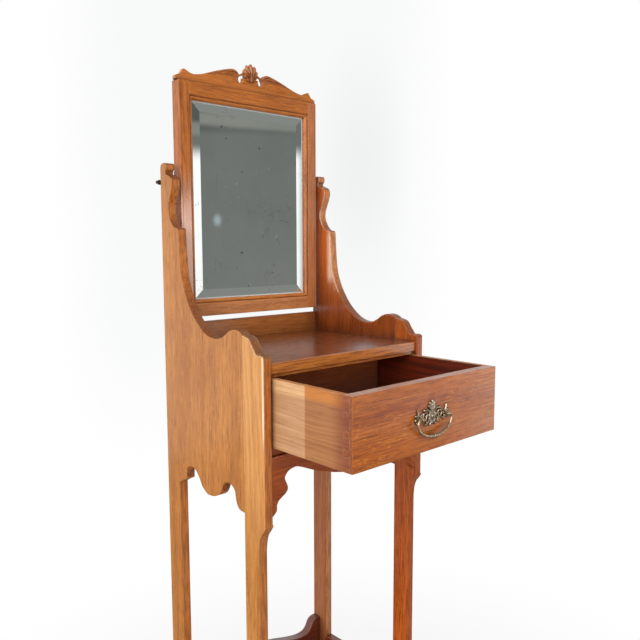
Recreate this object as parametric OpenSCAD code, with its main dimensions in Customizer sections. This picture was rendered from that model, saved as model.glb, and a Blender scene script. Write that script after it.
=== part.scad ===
// Shaving stand: two scrolled side boards carry a swinging bevelled mirror, a shelf with one
// drawer under it, and a low tray with a gallery. Sizes are in millimetres.
// X runs across the front, Y from front to back and Z up. Heights are measured from the top
// of the shelf unless the name says floor. The origin is on the floor under the middle.

/* [Case] */
// Width over the side boards
case_w = 420; // [380:1:460]
// Depth from the front legs' faces to the back
case_d = 320; // [300:1:360]
// Height of the shelf's top above the floor
shelf_floor_h = 925; // [820:1:1000]
// Thickness of the side boards and front legs
side_t = 18.5; // [16:0.5:22]
// Width of a front leg above its step
leg_w = 58; // [50:0.5:70]
// How far the lower front leg steps back
leg_step = 19; // [8:0.5:26]
// Width of a back leg
back_leg_w = 43; // [34:0.5:60]
// Radius that rounds the legs' long front edges
edge_r = 3; // [1:0.5:5]

/* [Shelf and back] */
// Thickness of the shelf
shelf_t = 19.5; // [14:0.5:24]
// Setback of the shelf's front edge from the front legs
shelf_set = 5; // [2:0.5:12]
// Thickness of the back board
back_t = 8; // [5:0.5:12]
// Height of the back board above the shelf
splash_h = 42; // [20:0.5:46]

/* [Drawer] */
// Height of the drawer
drawer_h = 120.5; // [100:0.5:130]
// Length of the drawer from its face to its back
drawer_len = 295; // [270:1:295]
// How far the drawer stands open
drawer_open = 194.5; // [100:0.5:220]
// Side clearance of the drawer in its opening
drawer_gap = 2; // [1:0.1:4]
// Clearance under and over the drawer
slide_gap = 0.5; // [0.3:0.1:1.5]
// Thickness of the drawer front
front_t = 20; // [16:0.5:24]
// Thickness of the drawer sides
drawer_side_t = 11; // [8:0.5:14]
// Thickness of the drawer back
drawer_back_t = 9; // [7:0.5:14]
// Thickness of the drawer bottom
drawer_bottom_t = 6; // [4:0.5:8]
// Depth of the grooves that hold the drawer bottom
groove_d = 4; // [2:0.5:5]
// Height of the drawer bottom above the drawer's lower edge
bottom_up = 9; // [7:0.5:16]
// How far the drawer back's top lies below the sides' top
back_drop = 7; // [3:0.5:14]
// Wood left in front of the half-blind dovetails
dovetail_lap = 6; // [4:0.5:8]
// Number of dovetails at each front corner
tails = 4; // [2:1:6]
// Thickness of the drawer stops
stop_t = 5; // [3:0.5:6.5]

/* [Drawer frame] */
// Thickness of the rails and runners under the drawer
rail_t = 17; // [12:0.5:20]
// Depth of the front rail from front to back
rail_w = 50; // [40:1:60]
// Setback of the front rail behind the apron's face
rail_set = 7; // [3:0.5:12]
// Depth of the rear rail
rear_rail_w = 24; // [18:1:40]
// Width of the runners
runner_w = 20; // [16:0.5:28]
// Thickness of the kickers over the drawer
kicker_t = 6.5; // [5:0.5:12]
// Thickness of the front apron
apron_t = 18; // [14:0.5:20]
// Setback of the apron's face from the front legs
apron_set = 1.5; // [1:0.5:5]
// Height of the apron at its ends
apron_h = 105; // [90:1:110]

/* [Mirror] */
// Gap between the mirror frame and each side board
mirror_gap = 12; // [8:0.5:20]
// Height of the mirror frame without its crest
frame_h = 466; // [430:1:490]
// Thickness of the mirror frame
frame_t = 24.5; // [21:0.5:28]
// Height of the frame's lower edge above the shelf
frame_up = 54.5; // [52:0.5:70]
// Width of the stiles and rails
member_w = 26.5; // [20:0.5:34]
// Width of the mirror frame's stiles
stile_w = 24; // [20:0.5:32]
// Width of the moulding between the members and the glass
moulding_w = 8.5; // [6:0.5:12]
// Thickness of the moulding
moulding_t = 9; // [7:0.5:11]
// Setback of the moulding behind the frame's face
moulding_set = 1.5; // [0.5:0.5:3]
// Thickness of the glass
glass_t = 5; // [3:0.5:6]
// Width of the glass's bevel
bevel_w = 27; // [18:0.5:34]
// Clearance round the glass
glass_gap = 1; // [0.5:0.1:2]
// Thickness of the backing board
backing_t = 5; // [3:0.5:6]
// Thickness of the crest
crest_t = 9; // [7:0.5:16]
// Setback of the crest behind the frame's face
crest_set = 7; // [4:0.5:12]

/* [Mirror pivot] */
// Height of the pivot above the shelf
pivot_h = 323; // [300:1:340]
// Height of the scroll tops above the pivot
scroll_up = 35.5; // [30:0.5:40]
// Radius of the pivot bolts
bolt_r = 3; // [2.5:0.1:4]
// Distance of the pivot bolts behind the boards
bolt_back = 8; // [7:0.5:12]
// Thickness of the pivot plates
plate_t = 2.5; // [2:0.1:3.5]
// Height of the pivot plates
plate_h = 40; // [34:1:50]
// Radius of the plates' lugs
lug_r = 6; // [5.2:0.1:7]
// Thickness of the lugs
lug_t = 6; // [4:0.5:8]
// Radius of the thumb nuts
nut_r = 4.8; // [4.3:0.1:5.2]
// Length of the thumb nuts
nut_l = 7; // [5:0.5:10]
// Radial clearance of turning pieces on their pins
run_gap = 0.05; // [0.03:0.01:0.09]

/* [Handle] */
// Height of the handle's posts above the drawer's lower edge
handle_up = 59; // [50:1:66]
// Distance between the handle's posts
post_span = 68; // [64:1:76]
// Thickness of the back plate
escutcheon_t = 1.8; // [1.2:0.1:3]
// Distance of the bail's pins from the drawer front
bail_off = 8.5; // [8:0.5:12]
// Radius of the bail's rod
bail_r = 2.2; // [1.6:0.1:2.6]
// Widest half width of the bail, to the middle of its rod
bail_half_w = 44.5; // [43.5:0.5:50]
// Radius of the bail's upper bends
bend_r = 6; // [5:0.5:8]
// Radius of the bail's lower corners
corner_r = 20; // [15:0.5:24]
// Slope at which the corners meet the bottom bow, in degrees
bow_slope = 30; // [24:1:36]
// Radius of the posts' barrels
barrel_r = 4.2; // [3.6:0.1:5]
// Length of the posts' barrels
barrel_l = 6; // [5:0.5:8]
// Radius of the posts' shanks
shank_r = 2.5; // [2:0.1:3.5]

/* [Tray] */
// Height of the tray's top above the floor
tray_floor_h = 125; // [80:1:200]
// Thickness of the tray board
tray_t = 16; // [12:0.5:20]
// Height of the side rails above the tray's top
tray_rail_up = 34.5; // [16:0.5:60]
// Thickness of the tray's back rail
tray_back_t = 20; // [14:0.5:24]
// Height of the back rail's low parts above the tray's top
gallery_low = 47; // [30:0.5:70]
// Rise of the back rail's ends over its low parts
gallery_rise = 30; // [15:0.5:40]

/* [Hidden] */
$fn = 48;

half_w = case_w / 2;
inner_w = half_w - side_t;             // half the clear width between the side boards
floor_z = -shelf_floor_h;
tray_z = floor_z + tray_floor_h;       // top of the tray
back_y = case_d - back_t;              // front face of the back board

// Drawer opening, from the shelf down
kicker_z = -shelf_t - kicker_t;
drawer_top = kicker_z - slide_gap;
drawer_z = drawer_top - drawer_h;      // lower edge of the drawer
rail_top = drawer_z - slide_gap;
rail_z = rail_top - rail_t;
skirt_z = rail_z - 109;                // where the side boards' lower edges meet the legs
drawer_face = shelf_set - drawer_open; // face of the drawer front
drawer_half = inner_w - drawer_gap;
drawer_in = drawer_half - drawer_side_t;
rail_front = apron_set + rail_set;
joint_slop = 0.3;                      // running gap between flat faces that meet at a stop

// Mirror
frame_y = case_d - frame_t;            // face of the mirror frame
frame_half = inner_w - mirror_gap;
open_half = frame_half - stile_w;      // half the clear width between the stiles
frame_top = frame_up + frame_h;
open_z = frame_up + member_w;
open_h = frame_h - 2 * member_w;
moulding_y = frame_y + moulding_set;
glass_y = moulding_y + moulding_t;
glass_half = open_half - glass_gap;
scroll_top = pivot_h + scroll_up;

// Pivot hardware: side lug, frame lug, bolt and thumb nut, all on one line along X
bolt_y = case_d + bolt_back;
side_lug_x = inner_w + 5.5;            // inner face of a side lug
frame_lug_x = frame_half - 8.5;        // inner face of a frame lug
bolt_head_r = bolt_r + 2;
bolt_head_l = 4;
nut_x = side_lug_x + lug_t + joint_slop;
bolt_end = nut_x + nut_l + 4.5;
plate_w = 15;
frame_plate_w = 20;
plate_low = pivot_h - 0.45 * plate_h;   // lower edge of a pivot plate

// Handle
handle_z = drawer_z + handle_up;
pin_y = drawer_face - bail_off;
post_x = post_span / 2;
front_most = pin_y - max(bail_r, barrel_r);
back_most = bolt_y + max(lug_r, bolt_head_r, nut_r);
y_mid = (front_most + back_most) / 2;

oak = "#B87540";
oak_dark = "#8A4A20";
pine = "#C9A06A";
iron = "#4A4038";
brass = "#8C7A50";

// ---------- outlines ----------

// Points on an arc, from one angle to another in degrees
function arc(c, r, a0, a1, n = 8) =
  [for (i = [0:n]) let (a = a0 + (a1 - a0) * i / n) [c[0] + r * cos(a), c[1] + r * sin(a)]];

// One point between p[1] and p[2] on a smooth curve through all four
function between(p, t) =
  0.5 * (2 * p[1] + (p[2] - p[0]) * t + (2 * p[0] - 5 * p[1] + 4 * p[2] - p[3]) * t * t
         + (3 * p[1] - p[0] - 3 * p[2] + p[3]) * t * t * t);

// Smooth open curve through a list of points, with n steps between neighbours
function curve(pts, n = 4) =
  let (last = len(pts) - 1)
  concat(
    [for (i = [0:last - 1], k = [0:n - 1])
      between([pts[max(i - 1, 0)], pts[i], pts[i + 1], pts[min(i + 2, last)]], k / n)],
    [pts[last]]);

function flip_x(pts) = [for (i = [len(pts) - 1:-1:0]) [-pts[i][0], pts[i][1]]];

// Measures a point's first coordinate from the back of the case
function from_back(pts) = [for (p = pts) [case_d - p[0], p[1]]];

// Raises or lowers points by z
function lift(pts, z) = [for (p = pts) [p[0], p[1] + z]];

// The side's upper edge as (Y, Z), from the front leg's top to the scroll at the back
leg_top = curve([[0, 8], [3, 12.5], [9, 14.5], [16, 14], [21, 14.5]]);
leg_rise = curve([[21, 14.5], [25, 20], [30, 26], [34, 32], [38.5, 38], [45, 41.5],
                  [leg_w, 44.5]]);
hump = curve([[leg_w, 44.5], [leg_w + 10, 50], [leg_w + 25, 52], [leg_w + 40, 47.5],
              [leg_w + 54, 38.5], [leg_w + 70, 31.5], [leg_w + 87, 30], [leg_w + 103, 32]]);
sweep = concat(
  curve(concat([[leg_w + 103, 32]],
    from_back([[144, 37.5], [125, 50], [104, 69.5], [83.5, 98.5], [70.5, 127.5],
               [65.5, 147], [61, 186.5], [59.5, 214], [58.5, 225]]))),
  curve(lift(from_back([[58.5, 225], [58, 229.5], [55, 232.5]]), pivot_h - 323), 2),
  curve(lift(from_back([[55, 232.5], [46, 233.5], [38.5, 239], [31.5, 248], [26, 259],
                        [24.2, 268], [26, 279], [32, 293], [38, 307], [40.3, 318],
                        [39, 325.5], [34, 330.5], [24.5, 334.5], [16, 337.5]]),
             pivot_h - 323)));
scroll = concat(
  curve(lift(from_back([[16, 337.5], [17, 341.5], [21, 346.5]]), pivot_h - 323)),
  arc([case_d - 15.5, scroll_top - 6], 6, 180, 90),
  arc([case_d - 10, scroll_top - 10], 10, 90, 0));

// The side's lower edge as (Y, Z) below the apron's line, from the front leg to the back leg
skirt = lift(concat(
  curve([[leg_w, 0], [leg_w + 15, 2], [leg_w + 23, 10.5], [leg_w + 26.5, 21],
         [leg_w + 29.5, 34], [leg_w + 38, 40.5], [leg_w + 43, 43]]),
  curve([[leg_w + 43, 43], [leg_w + 52, 42.5], [leg_w + 61, 39], [leg_w + 67, 32.5],
         [leg_w + 71, 23], [leg_w + 80, 12], [leg_w + 96, 4.5], [leg_w + 117, 2]]),
  curve(concat([[leg_w + 117, 2]], from_back([[128, 11.5], [118, 25], [108.5, 36],
                                              [102.5, 40.5]]))),
  curve(from_back([[102.5, 40.5], [96, 42.5], [86, 42.5], [77, 39.5], [71.5, 33.5],
                   [70, 24], [69.8, 13.5]])),
  curve(from_back([[69.8, 13.5], [56, 7], [back_leg_w, 0]]))), skirt_z);

// The front leg's edge below the apron: a rounded corner, a cove and the plain lower leg
step_z = skirt_z - 16;
leg_front = concat(
  arc([4, step_z + 4], 4, 180, 225, 4),
  curve([[1.2, step_z + 1.2], [6.5, step_z - 6.5], [11.5, step_z - 13], [15, step_z - 21],
         [leg_step - 1.7, step_z - 31], [leg_step, step_z - 46]]));

// ---------- boards ----------

// Stands a (Y, Z) outline up as a board of thickness t whose lower X face is at x
module board_x(x, t) {
  translate([x, 0, 0]) rotate([90, 0, 90]) linear_extrude(t) children();
}

// Stands an (X, Z) outline up as a board of thickness t whose front face is at y
module board_y(y, t) {
  translate([0, y + t, 0]) rotate([90, 0, 0]) linear_extrude(t) children();
}

// A block between two corners
module block(a, b) {
  translate(a) cube(b - a);
}

// A rod along X between two places
module rod_x(x0, x1, y, z, r) {
  translate([min(x0, x1), y, z]) rotate([0, 90, 0]) cylinder(r = r, h = abs(x1 - x0));
}

// A rod along Y between two places
module rod_y(y0, y1, x, z, r) {
  translate([x, max(y0, y1), z]) rotate([90, 0, 0]) cylinder(r = r, h = abs(y1 - y0));
}

// Mirrors a left-hand piece to the right where s is 1
module side(s) {
  if (s < 0) children();
  else mirror([1, 0, 0]) children();
}

module side_board_left() {
  difference() {
    board_x(-half_w, side_t)
      polygon(concat(hump, sweep, scroll, [[case_d, floor_z], [case_d - back_leg_w, floor_z]],
                     [for (i = [len(skirt) - 1:-1:0]) skirt[i]]));
    for (z = plate_screw_z)
      rod_y(case_d - plate_screw_l, case_d + 1, -plate_screw_x, z, screw_r + run_gap);
  }
}

module front_leg_left() {
  difference() {
    board_x(-half_w, side_t)
      polygon(concat(leg_top, leg_rise, [[leg_w, floor_z], [leg_step, floor_z]],
                     [for (i = [len(leg_front) - 1:-1:0]) leg_front[i]]));
    edge_cut(-half_w, 1);
    edge_cut(-half_w + side_t, -1);
  }
}

// Rounds a front leg's long vertical edge at x, above the step; s points into the leg
module edge_cut(x, s) {
  translate([x, 0, step_z + 6])
    linear_extrude(-step_z + 40)
      polygon(concat([[-s, -1], [s * edge_r, -1]],
                     arc([s * edge_r, edge_r], edge_r, 270, s > 0 ? 180 : 360, 6),
                     [[-s, edge_r]]));
}

module left_side_board() { color(oak) side_board_left(); }
module right_side_board() { color(oak) side(1) side_board_left(); }
module left_front_leg() { color(oak) front_leg_left(); }
module right_front_leg() { color(oak) side(1) front_leg_left(); }

module shelf() {
  color(oak) difference() {
    board_x(-inner_w, 2 * inner_w)
      polygon(concat(
        arc([shelf_set + 2, -2], 2, 180, 90, 4),
        [[back_y, 0], [back_y, -shelf_t], [shelf_set, -shelf_t]]));
    for (x = back_screw_x)
      rod_y(back_y - back_screw_l, back_y + 1, x, back_screw_z[1], screw_r + run_gap);
  }
}

module back_board() {
  color(oak_dark) difference() {
    block([-inner_w, back_y, rail_z], [inner_w, case_d, splash_h]);
    for (x = back_screw_x, z = back_screw_z)
      rod_y(back_y - 1, case_d + 1, x, z, screw_r + run_gap);
  }
}

// Lower edge of the apron from the left end to the middle, as (distance in from the end, depth
// below the apron's top), both in hundredths of the apron's height
apron_z = rail_z;
bracket = concat(
  curve([[0, 100], [8.5, 92], [9.5, 82], [14.5, 74.5], [29.5, 65], [33, 56.5], [27.5, 43.5]]),
  curve([[27.5, 43.5], [27, 38], [34, 29.5], [45, 26], [58, 27], [90, 40], [110, 47],
         [141, 56]]));
apron_left = concat(
  [for (p = bracket) [-inner_w + p[0] * apron_h / 100, apron_z - p[1] * apron_h / 100]],
  [[0, apron_z - 0.65 * apron_h]]);

module front_apron() {
  color(oak)
    board_y(apron_set, apron_t)
      polygon(concat(apron_left, flip_x(apron_left), [[inner_w, apron_z], [-inner_w, apron_z]]));
}

module drawer_rail() {
  color(oak_dark)
    block([-inner_w, rail_front, rail_z], [inner_w, rail_front + rail_w, rail_top]);
}

// Thin rail under the shelf's front, which fills the opening over the closed drawer
module kicker_rail() {
  color(oak_dark)
    block([-inner_w, rail_front, kicker_z], [inner_w, rail_front + rail_w, -shelf_t]);
}

module rear_rail() {
  color(oak_dark) difference() {
    block([-inner_w, back_y - rear_rail_w, rail_z], [inner_w, back_y, rail_top]);
    for (x = back_screw_x)
      rod_y(back_y - back_screw_l, back_y + 1, x, back_screw_z[0], screw_r + run_gap);
  }
}

module runner(s) {
  color(pine) side(s)
    block([-inner_w, rail_front + rail_w, rail_z],
          [-inner_w + runner_w, back_y - rear_rail_w, rail_top]);
}

module kicker(s) {
  color(pine) side(s)
    block([-inner_w, rail_front + rail_w, kicker_z],
          [-inner_w + runner_w, back_y, -shelf_t]);
}

module left_runner() { runner(-1); }
module right_runner() { runner(1); }
module left_kicker() { kicker(-1); }
module right_kicker() { kicker(1); }

// Two blocks on the front rail that the closed drawer front meets
stop_y = shelf_set + front_t + joint_slop;
module drawer_stops() {
  color(pine) for (x = [-0.55, 0.55] * inner_w)
    block([x - 17, stop_y, rail_top], [x + 17, rail_front + rail_w - 2, rail_top + stop_t]);
}

// Glue blocks in the corners behind the apron, under the front rail
block_w = 16;
module glue_blocks() {
  color(pine) for (x = [-0.82, -0.3, 0.3, 0.82] * inner_w)
    block([x - 14, apron_set + apron_t, rail_z - block_w],
          [x + 14, apron_set + apron_t + block_w, rail_z]);
}

// Screws that hold the back board to the rear rail and the shelf
screw_r = 2;
screw_head_r = 3.6;
screw_head_l = 1.6;
back_screw_l = 14;
back_screw_x = [-0.85, -0.28, 0.28, 0.85] * inner_w;
back_screw_z = [rail_z + rail_t / 2, -shelf_t / 2];

module back_screw(x, z) {
  rod_y(back_y - back_screw_l + 2, case_d, x, z, screw_r);
  rod_y(case_d, case_d + screw_head_l, x, z, screw_head_r);
}

module back_screws() {
  color(iron) for (x = back_screw_x, z = back_screw_z) back_screw(x, z);
}

// ---------- tray ----------

tray_bottom = tray_z - tray_t;
tray_front = leg_step + 3;
tray_back_y = case_d - tray_back_t;
module tray_board() {
  color(oak_dark)
    board_x(-inner_w, 2 * inner_w)
      polygon(concat(
        arc([tray_front + 4, tray_z - 4], 4, 180, 90, 4),
        [[tray_back_y, tray_z], [tray_back_y, tray_bottom]],
        arc([tray_front + 4, tray_bottom + 4], 4, 270, 180, 4)));
}

// Upper edge of the back rail, from the left end to the middle
gallery_left = [
  for (p = curve([[-inner_w, 1], [-inner_w + 14, 0.97], [-inner_w + 24, 0.75],
                  [-inner_w + 30, 0.37], [-inner_w + 41.5, 0.05], [-inner_w + 64, 0],
                  [-inner_w + 97, 0.23], [-inner_w + 146, 0.68], [0, 0.85]]))
    [p[0], tray_z + gallery_low + p[1] * gallery_rise]];

module tray_back_rail() {
  color(oak_dark)
    board_y(tray_back_y, tray_back_t)
      polygon(concat([[-inner_w, tray_bottom]], gallery_left, flip_x(gallery_left),
                     [[inner_w, tray_bottom]]));
}

module tray_rail(s) {
  color(oak_dark) side(s)
    block([-half_w, leg_w, tray_bottom], [-inner_w, case_d - back_leg_w, tray_z + tray_rail_up]);
}

module tray_left_rail() { tray_rail(-1); }
module tray_right_rail() { tray_rail(1); }

// Glue blocks under the tray, against the side rails and the legs
module tray_blocks() {
  color(pine) for (s = [-1, 1], y = [leg_step + 12, case_d / 2, case_d - back_leg_w + 6])
    side(s)
      block([-inner_w, y - 8, tray_bottom - block_w], [-inner_w + block_w, y + 8, tray_bottom]);
}

// ---------- mirror ----------

module stile(s) {
  color(oak) side(s) difference() {
    block([-frame_half, frame_y, frame_up], [-open_half, case_d, frame_top]);
    for (z = plate_screw_z)
      rod_y(case_d - plate_screw_l, case_d + 1, -frame_screw_x, z, screw_r + run_gap);
  }
}

module left_stile() { stile(-1); }
module right_stile() { stile(1); }

module top_rail() {
  color(oak)
    block([-open_half, frame_y, frame_top - member_w], [open_half, case_d, frame_top]);
}

module bottom_rail() {
  color(oak) block([-open_half, frame_y, frame_up], [open_half, case_d, open_z]);
}

// Moulding section as (distance in from the members, distance behind the face)
moulding = concat(
  [[0, 0], [1, 0], [1, 1.2], [2.2, 1.2], [2.2, 0]],
  arc([2.2, moulding_w - 2.2], moulding_w - 2.2, 270, 360, 6),
  [[moulding_w, moulding_t], [0, moulding_t]]);

// Mitred sector between the moulding's outer and inner edges, w being half the long side
module mitre(w, z) {
  translate([0, moulding_y + moulding_t + 1, z]) rotate([90, 0, 0])
    linear_extrude(moulding_t + 2)
      polygon([[-w, 0], [w, 0], [w - moulding_w, -moulding_w], [-w + moulding_w, -moulding_w]]);
}

// One side of the moulding, w being half its long side and z its outer edge
module moulding_side(w, z) {
  intersection() {
    translate([-w, moulding_y, z]) rotate([90, 0, 90]) linear_extrude(2 * w)
      polygon([for (p = moulding) [p[1], -p[0]]]);
    mitre(w, z);
  }
}

module mirror_moulding() {
  color(oak) translate([0, 0, open_z + open_h / 2]) {
    for (a = [0, 180]) rotate([0, a, 0]) moulding_side(open_half, open_h / 2);
    for (a = [90, 270]) rotate([0, a, 0]) moulding_side(open_h / 2, open_half);
  }
}

// How far the glass's bevel falls away where it meets the moulding's inner edge
bevel_depth = 2;
bevel_drop = bevel_depth * (1 - (moulding_w - glass_gap) / bevel_w);
glass_face = glass_y - bevel_drop + 0.02;
glass_back = glass_face + glass_t;

// Bevelled section, w being half the width of the glass
function bevelled(w) = [
  [-w, glass_back], [w, glass_back], [w, glass_face + bevel_depth], [w - bevel_w, glass_face],
  [-w + bevel_w, glass_face], [-w, glass_face + bevel_depth]];

module mirror_glass() {
  color("#B8C4C0") intersection() {
    translate([0, 0, open_z + glass_gap]) linear_extrude(open_h - 2 * glass_gap)
      polygon(bevelled(glass_half));
    translate([-glass_half, 0, open_z + open_h / 2]) rotate([90, 0, 90])
      linear_extrude(2 * glass_half)
        polygon([for (p = bevelled(open_h / 2 - glass_gap)) [p[1], p[0]]]);
  }
}

module mirror_backing() {
  color(pine)
    block([-glass_half, glass_back, open_z + glass_gap],
          [glass_half, glass_back + backing_t, open_z + open_h - glass_gap]);
}

// Beads pinned round the back of the opening to hold the backing board
bead_w = 8;
bead_y = glass_back + backing_t;
module backing_beads() {
  color(pine) {
    for (z = [open_z, open_z + open_h - bead_w])
      block([-open_half, bead_y, z], [open_half, case_d - 1, z + bead_w]);
    for (s = [-1, 1]) side(s)
      block([-open_half, bead_y, open_z + bead_w],
            [-open_half + bead_w, case_d - 1, open_z + open_h - bead_w]);
  }
}

// Upper edge of the crest's left half as (X, height), from its end to the scroll by the shell
crest_end = frame_half + 3;
crest_left = concat(
  [[-crest_end, 0]],
  curve([[-crest_end, 6], [-crest_end + 2.5, 9], [-crest_end + 7, 10.5], [-crest_end + 12, 13.2],
         [-crest_end + 16.5, 19], [-crest_end + 20, 23], [-crest_end + 29, 19.5]]),
  curve([[-crest_end + 29, 19.5], [-crest_end + 35, 16.8], [-crest_end + 42.5, 15.5]]),
  curve([[-crest_end + 42.5, 15.5], [-122, 19], [-104, 25], [-84, 32], [-62, 38],
         [-47, 41.4], [-38, 40], [-31.5, 35.5], [-29, 30]]),
  curve([[-29, 30], [-32, 25], [-31.5, 19.5], [-28, 16], [-23, 16.5], [-20, 21], [-19.5, 27]]));
shell_z = 37;                          // middle of the shell above the frame
shell_seat_r = 16;
crest_y = frame_y + crest_set;

module mirror_crest() {
  color(oak) translate([0, 0, frame_top])
    board_y(crest_y, crest_t)
      polygon(concat(crest_left, arc([0, shell_z], shell_seat_r, 216, -36, 20),
                     flip_x(crest_left)));
}

// Scalloped shell with fluted ribs that spread from its foot, standing proud of the crest's face
shell_ribs = 9;
shell_t = 6.5;
shell_half = [17.5, 17];               // from the middle to the ribs' ends, across and up
shell_foot = -14;
rib_r = 4;
function rib(i) = let (a = -25 + i * 230 / (shell_ribs - 1))
  [shell_half[0] * cos(a), shell_half[1] * sin(a)];
module crest_shell() {
  color(oak) translate([0, 0, frame_top + shell_z]) difference() {
    board_y(crest_y - shell_t, shell_t) {
      polygon([for (i = [0:shell_ribs - 1]) rib(i), [0, shell_foot]]);
      for (i = [0:shell_ribs - 1]) translate(rib(i)) circle(rib_r);
      translate([0, shell_foot + 2]) circle(7);
    }
    for (i = [0:shell_ribs - 2]) let (p = rib(i + 0.5), rise = p[1] - shell_foot)
      translate([0, 0, shell_foot]) rotate([0, -atan2(rise, p[0]), 0])
        rod_x(9, norm([p[0], rise]) + 7, crest_y - shell_t - 0.8, 0, 1.9);
  }
}

// ---------- mirror pivot ----------

plate_screw_x = inner_w + side_t / 2;
plate_screw_z = [pivot_h - 0.31 * plate_h, pivot_h + 0.31 * plate_h];
plate_screw_l = 13;

// Lug from the back of a plate round the pivot's line, from x0 to x1
module lug(x0, x1) {
  rod_x(x0, x1, bolt_y, pivot_h, lug_r);
  block([x0, case_d, pivot_h - lug_r], [x1, bolt_y, pivot_h + lug_r]);
}

// Left plate on the back of a side board, with the bearing for the bolt
module pivot_plate(s) {
  color(iron) side(s) difference() {
    union() {
      block([-plate_screw_x - plate_w / 2, case_d, plate_low],
            [-plate_screw_x + plate_w / 2, case_d + plate_t, plate_low + plate_h]);
      lug(-side_lug_x - lug_t, -side_lug_x);
    }
    rod_x(-half_w, -inner_w, bolt_y, pivot_h, bolt_r + run_gap);
    for (z = plate_screw_z)
      rod_y(case_d - 1, case_d + plate_t + 1, -plate_screw_x, z, screw_r + run_gap);
  }
}

module left_pivot_plate() { pivot_plate(-1); }
module right_pivot_plate() { pivot_plate(1); }

module plate_screw(x, z, l) {
  rod_y(case_d + 1.5 - l, case_d + plate_t, x, z, screw_r);
  rod_y(case_d + plate_t, case_d + plate_t + screw_head_l, x, z, screw_head_r);
}

module pivot_plate_screws() {
  color(iron) for (x = [-1, 1] * plate_screw_x, z = plate_screw_z)
    plate_screw(x, z, plate_screw_l);
}

// Plate on the back of a stile, with the lug that holds the bolt
frame_screw_x = frame_half - 0.7 * frame_plate_w;
frame_screw_l = 12;
module frame_plate(s) {
  color(iron) side(s) difference() {
    union() {
      block([-frame_half + 1, case_d, plate_low],
            [-frame_half + frame_plate_w, case_d + plate_t, plate_low + plate_h]);
      lug(-frame_lug_x - lug_t, -frame_lug_x);
    }
    rod_x(-frame_half, -open_half, bolt_y, pivot_h, bolt_r + run_gap);
    for (z = plate_screw_z)
      rod_y(case_d - 1, case_d + plate_t + 1, -frame_screw_x, z, screw_r + run_gap);
  }
}

module left_frame_plate() { frame_plate(-1); }
module right_frame_plate() { frame_plate(1); }

module frame_plate_screws() {
  color(iron) for (x = [-1, 1] * frame_screw_x, z = plate_screw_z)
    plate_screw(x, z, frame_screw_l);
}

module pivot_bolt(s) {
  color(iron) side(s) {
    rod_x(-bolt_end, -frame_lug_x, bolt_y, pivot_h, bolt_r);
    rod_x(-frame_lug_x, -frame_lug_x + bolt_head_l, bolt_y, pivot_h, bolt_head_r);
  }
}

module left_pivot_bolt() { pivot_bolt(-1); }
module right_pivot_bolt() { pivot_bolt(1); }

// Thumb nut with a fluted rim
module thumb_nut(s) {
  color(iron) side(s)
    translate([-nut_x - nut_l, bolt_y, pivot_h]) rotate([90, 0, 90])
      linear_extrude(nut_l) difference() {
        circle(nut_r);
        circle(bolt_r + run_gap);
        for (a = [0:45:315]) rotate(a) translate([nut_r + 0.5, 0]) circle(1.1);
      }
}

module left_thumb_nut() { thumb_nut(-1); }
module right_thumb_nut() { thumb_nut(1); }

// ---------- drawer ----------

shoulder_y = drawer_face + front_t;    // back of the drawer front, where the sides start
drawer_end = drawer_face + drawer_len;
tail_l = front_t - dovetail_lap;
tail_pitch = drawer_h / tails;
tail_tip = tail_pitch * 0.68;
tail_base = tail_pitch * 0.5;
glue_gap = 0.1;
bottom_z = drawer_z + bottom_up;

// One dovetail as (Y, Z), widened by g, its middle at z
function tail(z, g) = [
  [shoulder_y, z - tail_base / 2 - g], [shoulder_y - tail_l, z - tail_tip / 2 - g],
  [shoulder_y - tail_l, z + tail_tip / 2 + g], [shoulder_y, z + tail_base / 2 + g]];

function tail_z(i) = drawer_z + tail_pitch * (i + 0.5);

module drawer_front() {
  color(oak) difference() {
    block([-drawer_half, drawer_face, drawer_z], [drawer_half, shoulder_y, drawer_top]);
    for (s = [-1, 1], i = [0:tails - 1]) side(s)
      board_x(-drawer_half - 1, drawer_side_t + 1)
        polygon(concat(tail(tail_z(i), glue_gap), [[shoulder_y + 1, tail_z(i) + tail_base / 2],
                                                   [shoulder_y + 1, tail_z(i) - tail_base / 2]]));
    block([-drawer_in - groove_d, shoulder_y - groove_d, bottom_z],
          [drawer_in + groove_d, shoulder_y + 1, bottom_z + drawer_bottom_t]);
    for (x = [-1, 1] * post_x)
      rod_y(drawer_face - 1, shoulder_y + 1, x, handle_z, shank_r + run_gap);
  }
}

module drawer_side(s) {
  color(pine) side(s) difference() {
    board_x(-drawer_half, drawer_side_t)
      polygon(concat([[drawer_end, drawer_top], [drawer_end, drawer_z], [shoulder_y, drawer_z]],
                     [for (i = [0:tails - 1], p = tail(tail_z(i), 0)) p],
                     [[shoulder_y, drawer_top]]));
    block([-drawer_in - groove_d, drawer_face, bottom_z],
          [-drawer_in + 1, drawer_end + 1, bottom_z + drawer_bottom_t]);
  }
}

module drawer_left_side() { drawer_side(-1); }
module drawer_right_side() { drawer_side(1); }

module drawer_back() {
  color(pine)
    block([-drawer_in, drawer_end - drawer_back_t, bottom_z + drawer_bottom_t],
          [drawer_in, drawer_end, drawer_top - back_drop]);
}

module drawer_bottom() {
  color(pine)
    block([-drawer_in - groove_d, shoulder_y - groove_d, bottom_z],
          [drawer_in + groove_d, drawer_end, bottom_z + drawer_bottom_t]);
}

// ---------- handle ----------

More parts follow.
